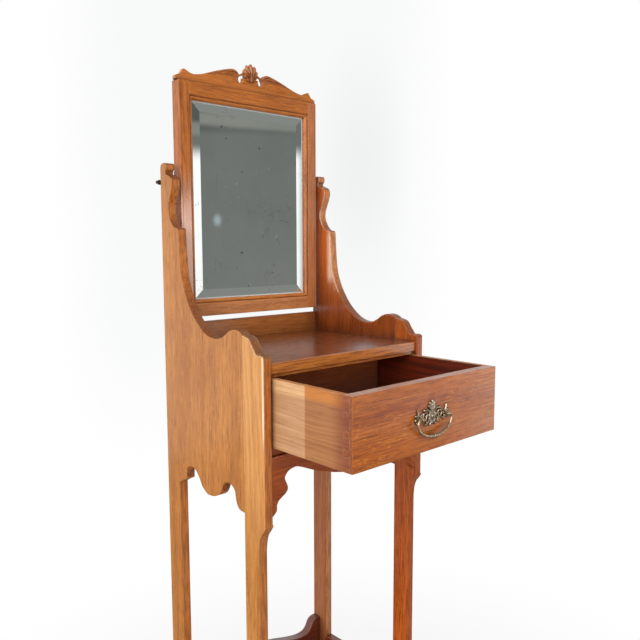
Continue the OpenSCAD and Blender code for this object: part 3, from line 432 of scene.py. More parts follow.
OAK = {
    "left_side_board": wood(
        "oak left side", **HONEY, **UPRIGHT, pith=(0.42, 0.06), figure=0.9, seed=1.0,
        round_r=0.004, edge=SIDE_EDGE),
    # Painted light high on the inner face, painted sheen near its front edge, painted highlights on
    # upper edges, narrow faces lighter with painted light, painted shade in the corners
    "right_side_board": wood(
        "oak right side", **AMBER, **UPRIGHT, pith=(0.42, 0.06), figure=0.9, contrast=1.4,
        seed=7.3, round_r=0.006, painted_edge_highlight=((255, 222, 190), SHELF_TOP + 0.09, 0.8), crevice=0.05,
        edge=RIGHT_EDGE, zones=(({"z": (SHELF_TOP + 0.11, NO_END, 0.07)}, AMBER_LIT, 0.7),
                                ({"z": (NO_START, SHELF_TOP - 0.27, 0.02)}, LEG_BACK, 0.7),
                                (SHEEN_AT, SHEEN, 0.8))),
    # Painted highlights on the front arris, high up
    "left_front_leg": wood(
        "oak left leg", **PALE, **UPRIGHT, pith=(0.30, 0.08), figure=0.6, seed=3.1, round_r=0.0045,
        painted_edge_highlight=((255, 226, 186), SHELF_TOP - 0.14, 0.4), edge=LEG_EDGE,
        zones=(({"z": (SHELF_TOP - 0.30, NO_END, 0.12)}, PALEST, 0.75),
               (LEG_FRONT, DARK_FRONT, 0.9), (LEG_ARRIS, ARRIS_HIGHLIGHT, 0.85))),
    "right_front_leg": wood(
        "oak right leg", **RUDDY, **UPRIGHT, pith=(0.30, 0.08), figure=0.7, contrast=1.3, seed=4.7,
        round_r=0.004, edge=((176, 92, 38), 0.5, (120, 64, 30)),
        zones=(({"z": (SHELF_TOP, NO_END, 0.005)}, AMBER_LOW, 0.8),)),
    # A painted highlight on its edges and painted shade in the corners
    "shelf": wood(
        "oak shelf", **SHELF, **FLAT, pith=(0.05, 0.11), figure=0.3, seed=2.2, rough=0.2,
        painted_edge_highlight=((240, 186, 140), 0.0, 0.6), coat=1.0, coat_rough=0.24, crevice=0.05,
        edge=((226, 138, 60), 0.85)),
    # A painted reflection towards the left and painted shade in the corners
    "back_board": wood(
        "oak back", **SPLASH, **FRONTAL, pith=(0.10, 0.09), figure=0.3, seed=5.9, crevice=0.05,
        zones=(({"x": (NO_START, -0.06, 0.06)}, PAINTED_GLARE, 0.25),)),
    # A painted highlight along the top edge
    "front_apron": wood(
        "oak apron", **APRON, **FRONTAL, pith=(0.12, 0.08), figure=0.5, seed=8.8, round_r=0.003,
        painted_edge_highlight=((236, 190, 170), high("front_apron").z - 0.005, 0.8)),
    # A painted reflection on the stiles' fronts, strongest low on the left
    "stiles": wood(
        "oak stiles", **FRAME, **STANDING, pith=(0.24, 0.05), figure=0.6, seed=6.1, round_r=0.003,
        edge=((176, 98, 44), 0.7),
        zones=(({"x": (NO_START, 0.0, 0.001), "y": STILE_FRONT, "z": (NO_START, GLARE_TOP, 0.07)},
                PAINTED_GLARE, 0.95),
               ({"x": (0.0, NO_END, 0.001), "y": STILE_FRONT}, PAINTED_SHEEN, 0.35),
               ({"|x": STILE_LINE}, DARK_LINE_AND_SHADOW, 0.6))),
    "mirror_rails": wood(
        "oak mirror rails", **FRAME, **FRONTAL, pith=(0.20, 0.06), figure=0.6, seed=9.4),
    # Painted shadow along the crest's foot, where it meets the frame
    "crest": wood(
        "oak crest", **FRAME, **FRONTAL, pith=(0.12, 0.06), figure=0.4, seed=2.9, round_r=0.0025,
        zones=(({"z": (NO_START, FRAME_TOP + 0.0022, 0.0004)}, DARK_LINE_AND_SHADOW, 0.95),)),
    "bottom_rail": wood(
        "oak bottom rail", **FRAME_LOW, **FRONTAL, pith=(0.20, 0.06), figure=0.6, seed=3.9),
    # Painted shade in the carving's grooves
    "carving": wood(
        "carved oak", **CARVED, **FRONTAL, pith=(0.12, 0.06), figure=0.1, seed=2.5, round_r=0.001,
        wear=0.5, rough=0.22, coat=0.4, crevice=0.0035),
    # Dark with painted shade, as in the grooves round the curls
    "ground": wood(
        "sunk oak", **GROOVE_SHADE, **FRONTAL, pith=(0.12, 0.06), figure=0.1, seed=2.1, round_r=0.0005,
        wear=0.1),
    # A painted sheen towards the right end and on the top edge
    "drawer_front": wood(
        "oak drawer front", **FRONT, **FRONTAL, pith=(0.03, 0.10), figure=1.0, seed=3.6,
        edge=((134, 74, 46), 0.75, (184, 140, 120)), contrast=1.2,
        zones=(({"x": (0.13, NO_END, 0.09)}, PAINTED_SHEEN, 0.55),)),
    # Painted light near the case and painted shade further out
    "drawer_sides": wood(
        "oak drawer sides", **SIDES, **INWARD, pith=(0.10, 0.07), figure=0.3, seed=1.8, rough=0.45,
        coat=0.0, contrast=0.7, edge=((204, 132, 72), 0.8),
        zones=(({"z": (NO_START, middle("drawer_left_side").z + 0.005, 0.04)}, SIDES_LOW, 0.95),
               ({"y": (NO_START, NEAR_CASE, 0.003)}, SIDES_SHADED, 0.88),
               ({"z": SIDE_RIM}, ORANGE, 0.9), ({"y": IN_CASE}, SIDES_LIT, 0.8),
               ({"y": IN_CASE, "z": SIDE_RIM}, SIDES_TOP, 0.8),
               ({"y": (NO_START, JOINT_Y + 0.012, 0.022)}, STAINED, 0.85),
               ({"|x": (NO_START, DRAWER_INNER + SKIN, SHARP)}, INNER, 1.0))),
    # Painted shade low down inside the drawer
    "drawer_back": wood(
        "oak drawer back", **INSIDE, **FRONTAL, pith=(0.08, 0.06), figure=0.1, seed=4.9, rough=0.5,
        coat=0.1,
        zones=(({"z": (NO_START, high("drawer_back").z - 0.040, 0.034)}, INSIDE_SHADE, 0.95),)),
    "drawer_bottom": wood(
        "oak drawer bottom", **INSIDE, **FLAT, pith=(0.05, 0.10), figure=0.1, seed=8.6, rough=0.45,
        coat=0.1),
}
# The tray's rails: a painted highlight on their edges
DARK = dict(figure=0.4, rough=0.16, coat=1.0, round_r=0.006, painted_edge_highlight=((160, 84, 54), 0.0, 0.6))
BARE = dict(figure=0.1, rough=0.6, coat=0.0)
OAK["dark_rails"] = wood("dark oak along", **GLOSSY, **FRONTAL, **DARK, pith=(0.2, 0.06), seed=5.2)
OAK["dark_sides"] = wood("dark oak across", **GLOSSY, **INWARD, **DARK, pith=(0.2, 0.06), seed=6.6)
OAK["plain_x"] = wood("plain wood along", **PLAIN, **FRONTAL, **BARE, pith=(0.08, 0.06), seed=4.4)
OAK["plain_y"] = wood("plain wood across", **PLAIN, **INWARD, **BARE, pith=(0.08, 0.06), seed=7.7)
OAK["lining"] = wood("plain backing", **PLAIN, **FLAT, **BARE, pith=(0.05, 0.10), seed=8.1)
mould_low, mould_high = low("mirror_moulding"), high("mirror_moulding")
OAK["moulding"] = wood("oak moulding", **FRAME, figure=0.4, seed=3.3, round_r=0.001, mitred=(
    (mould_high.x - mould_low.x) / 2, (mould_low.z + mould_high.z) / 2,
    (mould_high.z - mould_low.z) / 2))


# ---------- metal and glass ----------

PATCHES = 220.0                             # waves per metre in rolled metal


def metal(name, bright, dull, dirt, rough, scale=PATCHES):
    """Old metal: bright where it is worn, dull in patches, dirty in its hollows."""
    made, t, shader = new_material(name)
    here = t.node("ShaderNodeTexCoord").outputs["Object"]
    patch = t.noise(here, scale, 4.0, 0.6)
    fine = t.noise(here, scale * 6, 3.0, 0.6)
    tone = t.mix(t.remap(patch, 0.35, 0.65), linear(dull), linear(bright))
    soft_normal, at_edge = rounded(t, 0.0008)
    tone = t.mix(t.math("MULTIPLY", at_edge, 0.6), tone, linear(bright))
    tone = t.mix(t.remap(fine, 0.58, 0.75, 0.0, 0.5), tone, linear(dirt))
    t.feed(shader.inputs["Base Color"], patina_and_painted_shade(t, tone, 0.004, (0.28, 0.24, 0.20, 1.0), 0.3))
    shader.inputs["Metallic"].default_value = 1.0
    t.feed(shader.inputs["Roughness"], t.remap(patch, 0.3, 0.7, rough + 0.12, rough))
    t.feed(shader.inputs["Normal"], t.bump(t.math("ADD", patch, fine), 0.2, 0.0003, soft_normal))
    return made


BRASS = metal("antique brass", (226, 206, 172), (166, 142, 108), (86, 66, 46), 0.24)
CAST_BRASS = metal("cast brass", (212, 196, 172), (132, 112, 92), (60, 40, 32), 0.26, 330.0)
STEEL = metal("dark steel", (120, 112, 104), (74, 66, 60), (52, 34, 24), 0.42)

SIDE_BEND = 1.6                             # how far the side bevels turn what they show
END_BEND = 0.4                              # the same at the top and bottom
SILVER_DULL, SILVER_BRIGHT = (200, 206, 201), (210, 214, 210)
BEVEL_GLINT = (244, 247, 243)              # painted reflection, lighter on the bevels that look up or down
FOXING, BARE_GLASS, SILVER_RIM = (212, 210, 196), (60, 56, 50), (226, 228, 224)


def silvered(name):
    """Old bevelled mirror: grey-green silver with foxing and a few dark spots."""
    made, t, shader = new_material(name)
    here = t.node("ShaderNodeTexCoord").outputs["Object"]
    cloud = t.noise(here, 9.0, 4.0, 0.6)
    tone = t.mix(t.remap(cloud, 0.3, 0.7), linear(SILVER_DULL), linear(SILVER_BRIGHT))
    look = t.node("ShaderNodeTexCoord").outputs["Normal"]
    # Painted reflection: the bevels that look up or down are lighter
    top = t.remap(t.split(look)[2], 0.02, 0.05)
    foot = t.remap(t.split(look)[2], -0.02, -0.05, 0.0, 0.6)
    tone = t.mix(t.math("MAXIMUM", top, foot), tone, linear(BEVEL_GLINT))
    spots = t.remap(t.noise(here, 95.0, 3.0, 0.6), 0.68, 0.74)
    tone = t.mix(t.math("MULTIPLY", spots, 0.45), tone, linear(FOXING))
    marks = t.remap(t.noise(here, 70.0, 2.0, 0.5), 0.73, 0.76)
    vein = t.math("ABSOLUTE", t.math("SUBTRACT", t.noise(here, 14.0, 5.0, 0.65, 0.8), 0.5))
    cracked = t.math("MULTIPLY", t.remap(vein, 0.006, 0.0),
                     t.remap(t.noise(here, 8.0, 2.0, 0.5), 0.56, 0.66))
    lost = t.math("MAXIMUM", t.math("MULTIPLY", marks, 0.75), t.math("MULTIPLY", cracked, 0.55))
    tone = t.mix(lost, tone, linear(BARE_GLASS))
    part = t.split(here)
    from_side = t.math("SUBTRACT", SIGHT[0], t.math("ABSOLUTE", part[0]))
    from_end = t.math("SUBTRACT", SIGHT[2],
                      t.math("ABSOLUTE", t.math("SUBTRACT", part[2], SIGHT[1])))
    # A pale line at the glass's edge: partly its ground edge, partly painted highlight
    rim = t.remap(t.math("MINIMUM", from_side, from_end), 0.0030, 0.0016)
    t.feed(shader.inputs["Base Color"], t.mix(rim, tone, linear(SILVER_RIM)))
    t.feed(shader.inputs["Metallic"], t.math("SUBTRACT", 1.0, t.math("MULTIPLY", rim, 0.85)))
    t.feed(shader.inputs["Roughness"], t.math("MULTIPLY_ADD", t.math("MAXIMUM", spots, rim), 0.2,
                                              t.remap(cloud, 0.3, 0.7, 0.012, 0.03)))
    # The silver lies behind the glass, so a bevel bends what it shows towards the thick middle
    bent = t.vector("MULTIPLY", look, (-SIDE_BEND, 1.0, -END_BEND))
    turn = t.node("ShaderNodeVectorTransform", vector_type="NORMAL", convert_from="OBJECT",
                  convert_to="WORLD")
    t.feed(turn.inputs[0], bent)
    t.feed(shader.inputs["Normal"], t.vector("NORMALIZE", turn.outputs[0]))
    return made


MIRROR = silvered("silvered glass")

DRESS = {name: OAK[name] for name in (
    "left_side_board", "right_side_board", "left_front_leg", "right_front_leg", "shelf",
    "back_board", "front_apron", "bottom_rail", "drawer_front", "drawer_back", "drawer_bottom")}
for look, names in (
        ("stiles", ("left_stile", "right_stile")), ("mirror_rails", ("top_rail",)),
        ("moulding", ("mirror_moulding",)), ("crest", ("mirror_crest",)),
        ("carving", ("crest_shell",)), ("drawer_sides", ("drawer_left_side", "drawer_right_side")),
        ("front_apron", ("drawer_rail",)), ("shelf", ("kicker_rail",)),
        ("plain_x", ("rear_rail", "drawer_stops", "backing_beads")),
        ("plain_y", ("left_runner", "right_runner", "left_kicker", "right_kicker", "glue_blocks",
                     "tray_blocks")),
        ("lining", ("mirror_backing",)), ("dark_rails", ("tray_board", "tray_back_rail")),
        ("dark_sides", ("tray_left_rail", "tray_right_rail"))):
    DRESS.update((name, OAK[look]) for name in names)
DRESS["mirror_glass"] = MIRROR
BRASS_NODES = ("handle_plate", "handle_posts", "handle_nuts", "handle_bail")
STRAIGHT_NODES = ("shelf", "left_stile", "right_stile", "top_rail", "bottom_rail", "drawer_rail",
                  "kicker_rail", "tray_board", "tray_left_rail", "tray_right_rail", "drawer_back")
ARRIS = 0.0008
ARRIS_ANGLE = math.radians(38)              # edges turned less than this stay as they are


def dress(name, made):
    """Gives a node its finish."""
    piece = NODES[name]
    piece.data.materials.clear()
    piece.data.materials.append(made)


def ease_edges(name, width):
    """Small rounded arrises, as hand work leaves them."""
    piece = NODES[name]
    weld = piece.modifiers.new("join", "WELD")
    weld.merge_threshold = 0.00001
    ease = piece.modifiers.new("arris", "BEVEL")
    ease.width = width
    ease.segments = 2
    ease.limit_method = "ANGLE"
    ease.angle_limit = ARRIS_ANGLE
    ease.use_clamp_overlap = False
    ease.harden_normals = True


for name in NODES:
    dress(name, DRESS.get(name, BRASS if name in BRASS_NODES else STEEL))
    if name in STRAIGHT_NODES:
        ease_edges(name, ARRIS)


# ---------- carved and cast pieces ----------

MM = 0.001
SHARP_ANGLE = math.radians(50)              # edges turned more than this are shaded sharp


def build(name, points, faces, made, body, finish):
    """One smooth piece that rides a body and takes the given material; finish is not used."""
    mesh = bpy.data.meshes.new(name)
    mesh.from_pydata([tuple(p) for p in points], [], faces)
    mesh.shade_smooth()
    mesh.set_sharp_from_angle(angle=SHARP_ANGLE)
    mesh.materials.append(made)
    piece = bpy.data.objects.new(name, mesh)
    bpy.context.collection.objects.link(piece)
    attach(piece, body)
    return piece


def smooth_path(points, steps=6):
    """Points on a smooth curve through the given ones, with whatever values they carry."""
    out = []
    for i in range(len(points) - 1):
        a, b = points[max(i - 1, 0)], points[i]
        c, d = points[i + 1], points[min(i + 2, len(points) - 1)]
        for k in range(steps):
            t = k / steps
            out.append(tuple(0.5 * (2 * q + (r - p) * t + (2 * p - 5 * q + 4 * r - s) * t * t
                                    + (3 * q - p - 3 * r + s) * t ** 3)
                             for p, q, r, s in zip(a, b, c, d)))
    return out + [tuple(points[-1])]


def tube(path, flat=1.0, sides=10):
    """Round rod along a path of (x, y, z, radius) in mm, in a plane that faces the front."""
    points, faces = [], []
    for i, here in enumerate(path):
        before, after = path[max(i - 1, 0)], path[min(i + 1, len(path) - 1)]
        along = Vector((after[0] - before[0], 0, after[2] - before[2])).normalized()
        side = along.cross(Vector((0, 1, 0)))
        centre = Vector(here[:3])
        for k in range(sides):
            a = 2 * math.pi * k / sides
            outward = side * math.cos(a) + Vector((0, flat, 0)) * math.sin(a)
            points.append((centre + outward * here[3]) * MM)
        if i:
            for k in range(sides):
                n = (k + 1) % sides
                faces.append(((i - 1) * sides + k, (i - 1) * sides + n, i * sides + n,
                              i * sides + k))
    faces.append(tuple(reversed(range(sides))))
    faces.append(tuple(range(len(points) - sides, len(points))))
    return points, faces


def joined(parts):
    """Several (points, faces) as one."""
    points, faces = [], []
    for more, of_them in parts:
        faces += [tuple(i + len(points) for i in face) for face in of_them]
        points += list(more)
    return points, faces


def relief(shape, half, top, bottom, step, at, rim):
    """Mesh of a height field that faces the front. shape(x, z) gives (level, height) in mm, with
    the level above zero inside the outline. The outline's edge stands rim proud of the back."""
    across, up = int(math.ceil(2 * half / step)), int(math.ceil((top - bottom) / step))
    field = [[shape(-half + i * step, bottom + j * step) for j in range(up + 1)]
             for i in range(across + 1)]
    front, known, faces, border = [], {}, [], []

    def corner(i, j):
        if (i, j) not in known:
            known[i, j] = len(front)
            front.append((-half + i * step, rim + max(field[i][j][1], 0), bottom + j * step))
        return known[i, j]

    def crossing(a, b):
        key = (min(a, b), max(a, b))
        if key not in known:
            one, two = field[a[0]][a[1]][0], field[b[0]][b[1]][0]
            t = one / (one - two)
            known[key] = len(front)
            front.append((-half + (a[0] + (b[0] - a[0]) * t) * step, rim,
                          bottom + (a[1] + (b[1] - a[1]) * t) * step))
        return known[key]

    for i in range(across):
        for j in range(up):
            ring = [(i, j), (i + 1, j), (i + 1, j + 1), (i, j + 1)]
            face, ends = [], []
            for a, b in zip(ring, ring[1:] + ring[:1]):
                inside, then = field[a[0]][a[1]][0] > 0, field[b[0]][b[1]][0] > 0
                if inside:
                    face.append(corner(*a))
                if inside != then:
                    face.append(crossing(a, b))
                    ends.append(face[-1])
            if len(face) >= 3:
                faces.append(tuple(face))
            if len(ends) == 2:
                in_turn = face.index(ends[0]) + 1 == face.index(ends[1])
                border.append(tuple(ends if in_turn else ends[::-1]))
    count = len(front)
    points = [at + Vector((x, -y, z)) * MM for x, y, z in front]
    points += [at + Vector((x, 0, z)) * MM for x, y, z in front]
    sides = [(b, a, a + count, b + count) for a, b in border]
    return points, faces + [tuple(i + count for i in reversed(face)) for face in faces] + sides


def strokes(marks):
    """A height field from rounded strokes, each (x, z, radius, x, z, radius, height) in mm."""
    def shape(x, z):
        level, high_most = -9.0, 0.0
        for x0, z0, r0, x1, z1, r1, tall in marks:
            dx, dz = x1 - x0, z1 - z0
            t = min(max(((x - x0) * dx + (z - z0) * dz) / max(dx * dx + dz * dz, 1e-9), 0.0), 1.0)
            r = r0 + (r1 - r0) * t
            inside = 1 - ((x - x0 - dx * t) ** 2 + (z - z0 - dz * t) ** 2) / (r * r)
            level = max(level, inside)
            high_most = max(high_most, tall * math.sqrt(max(inside, 0.0)))
        return level, high_most
    return shape


# The crest's shell: ribs that fan from the foot, over a scalloped edge
SHELL_MID = Vector((0, CREST_FACE, (low("crest_shell").z + high("crest_shell").z) / 2 + 0.0005))
FOOT = 14.0                                 # mm from the shell's middle down to the ribs' foot
SHELL_R = 17.6
RIB_ANGLE = math.radians(23)                # from one rib to the next
SHELL_SPREAD = 4.6 * RIB_ANGLE              # to each side of the middle rib


def shell_shape(x, z):
    """The shell's level and height at a point: domed ribs that end in a scalloped edge."""
    reach, turn = math.hypot(x, z + FOOT), math.atan2(x, z + FOOT)
    if abs(turn) > SHELL_SPREAD:
        return -1.0, 0.0
    rib = 0.5 + 0.5 * math.cos(2 * math.pi * turn / RIB_ANGLE)
    edge = FOOT * math.cos(turn) + math.sqrt(SHELL_R ** 2 - (FOOT * math.sin(turn)) ** 2)
    edge *= 0.93 + 0.13 * rib ** 0.6
    t = reach / edge
    dome = 1.4 + 3.6 * math.sin(math.pi * min(t, 1.0) ** 1.15) ** 0.8
    if t >= 1:
        return 1 - t, 0.0
    return 1 - t, dome * (0.28 + 0.72 * rib ** 0.8) * min(1.0, (1 - t) * 9) ** 0.5


foot = strokes([(-7, -13.5, 4.2, -3, -11, 3.2, 3.2), (7, -13.5, 4.2, 3, -11, 3.2, 3.2),
                (0, -15, 3.6, 0, -8, 2.6, 4.2)])


def shell_and_foot(x, z):
    one, two = shell_shape(x, z), foot(x, z)
    return max(one[0], two[0]), max(one[1], two[1])


shell = build("scallop_shell", *relief(shell_and_foot, half=21.0, top=21.5, bottom=-20.0,
                                       step=0.42, at=SHELL_MID, rim=1.2),
              OAK["carving"], "mirror_frame", "oak_mirror")
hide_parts("crest_shell")

# Reeds along the crest's top that swell towards the scrolls and turn down beside the shell
REEDS = (
    ((-114, 19.2, 0.5), (-98, 25.3, 1.2), (-80, 31.2, 1.9), (-62, 35.8, 2.4), (-48, 38.8, 2.7),
     (-39.5, 37.8, 2.6), (-34, 34.4, 2.3), (-32.6, 30.4, 1.8), (-34.6, 27.8, 1.2)),
    ((-100, 20.2, 0.4), (-84, 26.2, 1.1), (-68, 30.8, 1.8), (-53, 33.8, 2.3), (-45, 33.6, 2.4),
     (-39.5, 31.0, 2.1), (-36.2, 26.6, 1.7), (-35.2, 21.8, 1.2)),
    ((-84, 22.2, 0.4), (-70, 26.4, 1.0), (-57, 28.9, 1.6), (-48.5, 28.6, 1.8), (-43, 25.6, 1.6),
     (-40, 21.2, 1.2), (-38.6, 16.6, 0.6)),
)
TIP = ((-31.5, 31.5, 1.9), (-28.5, 31.4, 2.1), (-24.8, 32.6, 2.2), (-20.6, 35.0, 2.0),
       (-17, 38.0, 1.4))


def crest_path(points, mirrored, proud):
    """A smooth path on the crest's face through (x, z, radius) from the frame's top, in mm."""
    way = -1 if mirrored else 1
    return smooth_path([(way * x, CREST_FACE / MM + proud, FRAME_TOP / MM + z, r)
                        for x, z, r in points])


REED_PROUD, REED_FLAT = 0.4, 0.9
TIP_PROUD, TIP_FLAT = 1.6, 1.2
reeds = [tube(crest_path(reed, right, REED_PROUD), REED_FLAT)
         for reed in REEDS for right in (False, True)]
tips = [tube(crest_path(TIP, right, TIP_PROUD), TIP_FLAT) for right in (False, True)]
build("crest_reeds", *joined(reeds + tips), OAK["carving"], "mirror_frame", "oak_mirror")

# The handle's cast back plate: boss, palmette, scrolls, finials and leaves
HANDLE_AT = Vector((0, DRAWER_FACE, middle("handle_posts").z))
NUT_HALF = 5.2
POST = high("handle_nuts").x / MM - NUT_HALF  # the posts' distance from the middle
PLATE_HALF = (
    (0, 1.6, 9.4, 0, -1.6, 9.4, 3.0), (0, 0, 5.4, 0, 0.4, 5.4, 4.8),
    (0, 1, 2.2, 0, 1.2, 2.2, 5.6), (8.4, 4.4, 1.7, 9.0, -3.6, 1.7, 3.0),
    (3.6, -9.0, 1.8, 5.4, -7.6, 1.8, 2.8), (0, 12, 3.0, 0, 26.6, 2.3, 3.4),
    (2.5, 12.5, 2.6, 5.4, 23.0, 2.4, 2.8), (4, 12, 2.4, 9, 18.4, 2.2, 2.6),
    (0, 9.5, 4.2, 0, 10, 4.2, 2.6), (5, 8, 1.7, 12.5, 12.5, 1.6, 2.0),
    (12.5, 12.5, 1.6, 20.5, 12.2, 1.8, 2.2), (20.5, 12.2, 2.7, 20.5, 12.4, 2.7, 3.2),
    (14.2, 4, 1.7, 17, 8.2, 1.7, 2.4), (17, 8.2, 1.7, 22.6, 7.4, 1.7, 2.4),
    (22.6, 7.4, 1.7, 25.2, 2.4, 1.7, 2.4), (25.2, 2.4, 1.7, 22.4, -3, 1.7, 2.4),
    (22.4, -3, 1.7, 16.6, -3.2, 1.7, 2.4), (16.6, -3.2, 1.7, 14.2, 4, 1.7, 2.4),
    (7.5, 1.5, 1.6, 14.2, 2.5, 1.6, 1.8), (19.5, 2.2, 1.3, 19.5, 2.4, 1.3, 2.6),
    (25.5, 2.5, 2.0, POST - 4, 1.5, 2.2, 2.0), (POST, 0, 6.0, POST + 0.1, 0, 6.0, 1.5),
    (POST + 2.5, 6, 2.6, POST + 4.4, 15.2, 1.3, 2.8),
    (POST + 7, 4.6, 2.5, POST + 8.6, 6.2, 1.8, 2.4),
    (POST + 8.4, -1.4, 3.0, POST + 8.6, -1.2, 3.0, 2.6),
    (POST + 5.4, -6.4, 2.6, POST + 5.6, -6.4, 2.6, 2.4),
    (POST - 2, -7, 2.2, POST - 2.6, -8.6, 1.8, 2.2),
    (POST - 5.5, 5.8, 1.8, POST - 8, 7.2, 1.4, 2.0), (0, -9, 2.6, 0, -12.4, 1.6, 2.4),
    (3, -8.5, 2.2, 6.8, -14, 1.9, 2.8), (7, -6, 1.8, 13.5, -10, 1.7, 2.2),
    (13.5, -10, 1.8, 18.8, -12.2, 2.2, 2.8), (16.6, -3.2, 1.6, 14, -9.6, 1.5, 2.0),
    (22.4, -3, 1.8, 26, -6, 1.6, 2.2), (26, -6, 1.6, POST - 3, -6.6, 1.7, 2.0))
plate = strokes(PLATE_HALF)
cast = build("handle_cast_plate",
             *relief(lambda x, z: plate(abs(x), z), half=49.0, top=30.0, bottom=-18.0,
                     step=0.5, at=HANDLE_AT, rim=0.9),
             CAST_BRASS, "drawer", "antique_brass")
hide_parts("handle_plate")

# Small carved curls, light on a dark ground of painted groove shade, where the side skirts' notches
# look to the front.
# Each has its place from the front and the floor, its radius and its lean.
CURL_TURNS, CURL_STEPS = 1.5, 40
CURLS = ((NOTCH_Y / MM - 0.1, SHELF_TOP / MM - 249.5, 6.6, -0.04),
         (NOTCH_Y / MM - 122.9, SHELF_TOP / MM - 247.5, 5.2, -0.42))


def curl(x, y, z, radius, lean, way):
    """A rod that winds inwards and gets thinner, leaning back with its height."""
    path = []
    for i in range(CURL_STEPS + 1):
        t = i / CURL_STEPS
        a, r = math.radians(-90) + t * CURL_TURNS * 2 * math.pi, radius * (1 - 0.82 * t)
        rise = r * math.sin(a)
        path.append((x + way * r * math.cos(a), y - 0.5 + lean * rise, z + rise, 1.05 - 0.2 * t))
    return tube(path, 0.9, 8)


def curl_ground(x, y, z, radius, lean):
    """The sunk round ground that a curl lies on."""
    def shape(across, up):
        reach = math.hypot(across, up) / (radius + 1.5)
        return 1 - reach, 0.25 * math.cos(reach * 9)
    size = radius + 2
    points, faces = relief(shape, half=size, top=size, bottom=-size, step=0.8,
                           at=Vector((x, y, z)) * MM, rim=0.25)
    return [p + Vector((0, lean * (p.z - z * MM), 0)) for p in points], faces


for name, board, way in (("left", "left_side_board", 1), ("right", "right_side_board", -1)):
    x = middle(board).x / MM
    build(name + "_curls", *joined([curl(x, *place, way) for place in CURLS]),
          OAK["carving"], "carcass", "oak_case")
    build(name + "_curl_grounds", *joined([curl_ground(x, *place) for place in CURLS]),
          OAK["ground"], "carcass", "oak_case")


# ---------- stage ----------

FLOOR_HALF = 2.2
FLOOR_DROP = 0.0005                         # below the feet
FLOOR_TONE = (206, 206, 206)
FLOOR_IN_GLOSS = (0.22, 0.215, 0.21, 1.0)
WHITE = (1.0, 1.0, 1.0, 1.0)


def make_floor():
    """A white floor to the camera, dim in gloss and plain to the soft light."""
    made, t, shader = new_material("white floor")
    shader.inputs["Base Color"].default_value = linear(FLOOR_TONE)
    shader.inputs["Roughness"].default_value = 0.8
    glow = t.node("ShaderNodeEmission")
    glow.inputs[0].default_value = WHITE
    here = t.node("ShaderNodeTexCoord").outputs["Object"]
    far = t.remap(t.vector("LENGTH", here), 0.4, 1.2, 0.8, 1.0)
    path = t.node("ShaderNodeLightPath")
    dim = t.node("ShaderNodeEmission")
    dim.inputs[0].default_value = FLOOR_IN_GLOSS
    blend, gloss = t.node("ShaderNodeMixShader"), t.node("ShaderNodeMixShader")
    t.feed(gloss.inputs[0], path.outputs["Is Glossy Ray"])
    t.feed(gloss.inputs[1], shader.outputs[0])
    t.feed(gloss.inputs[2], dim.outputs[0])
    t.feed(blend.inputs[0], t.math("MULTIPLY", path.outputs["Is Camera Ray"], far))
    t.feed(blend.inputs[1], gloss.outputs[0])
    t.feed(blend.inputs[2], glow.outputs[0])
    out = [n for n in t.tree.nodes if n.type == "OUTPUT_MATERIAL"][0]
    t.feed(out.inputs[0], blend.outputs[0])
    mesh = bpy.data.meshes.new("floor")
    h = FLOOR_HALF
    mesh.from_pydata([(-h, -h, 0), (h, -h, 0), (h, h, 0), (-h, h, 0)], [], [(0, 1, 2, 3)])
    floor = bpy.data.objects.new("floor", mesh)
    bpy.context.collection.objects.link(floor)
    mesh.materials.append(made)
    floor.location.z = -FLOOR_DROP


make_floor()


# Headings are in degrees from +X towards +Y, rises in degrees above level
WALL_GREY = (0.89, 0.90, 0.90, 1.0)
WALL_SHADOW = (0.80, 0.81, 0.81, 1.0)
WALL_HEADINGS, WALL_RISES = (39.0, 66.0), (-20.0, -3.0)
ROOM_LOW, ROOM_HIGH = (0.285, 0.290, 0.280, 1.0), (0.245, 0.255, 0.245, 1.0)
ROOM_RISES = (-8.0, 10.0)
ROOM_HEADINGS = (-80.0, -26.0)              # what the mirror sees
ROOM_SIDE_PALE, ROOM_SIDE_LIGHT = (0.60, 0.61, 0.62, 1.0), (0.90, 0.91, 0.92, 1.0)
DARK_PATCH_HEADINGS, DARK_PATCH_RISES = (-61.0, -40.0), (9.2, 16.0)
DARK_PATCH = (0.145, 0.155, 0.150, 1.0)
STRIPE_RISES, STRIPE = (9.4, 10.4), (0.38, 0.39, 0.36, 1.0)
WINDOWS_HEADINGS = ((-80.0, -62.4), (-45.2, -26.0))
WINDOWS_TOP, WINDOWS = (8.2, 6.8), (1.58, 1.56, 1.60, 1.0)
SPOT_HEADING, SPOT_RISE, SPOT = -55.8, 2.1, (0.60, 0.72, 0.78, 1.0)
TALL_HEADINGS, TALL_RISES, TALL = (-176.0, -98.0), (-6.0, 42.0), (1.9, 1.9, 1.95, 1.0)


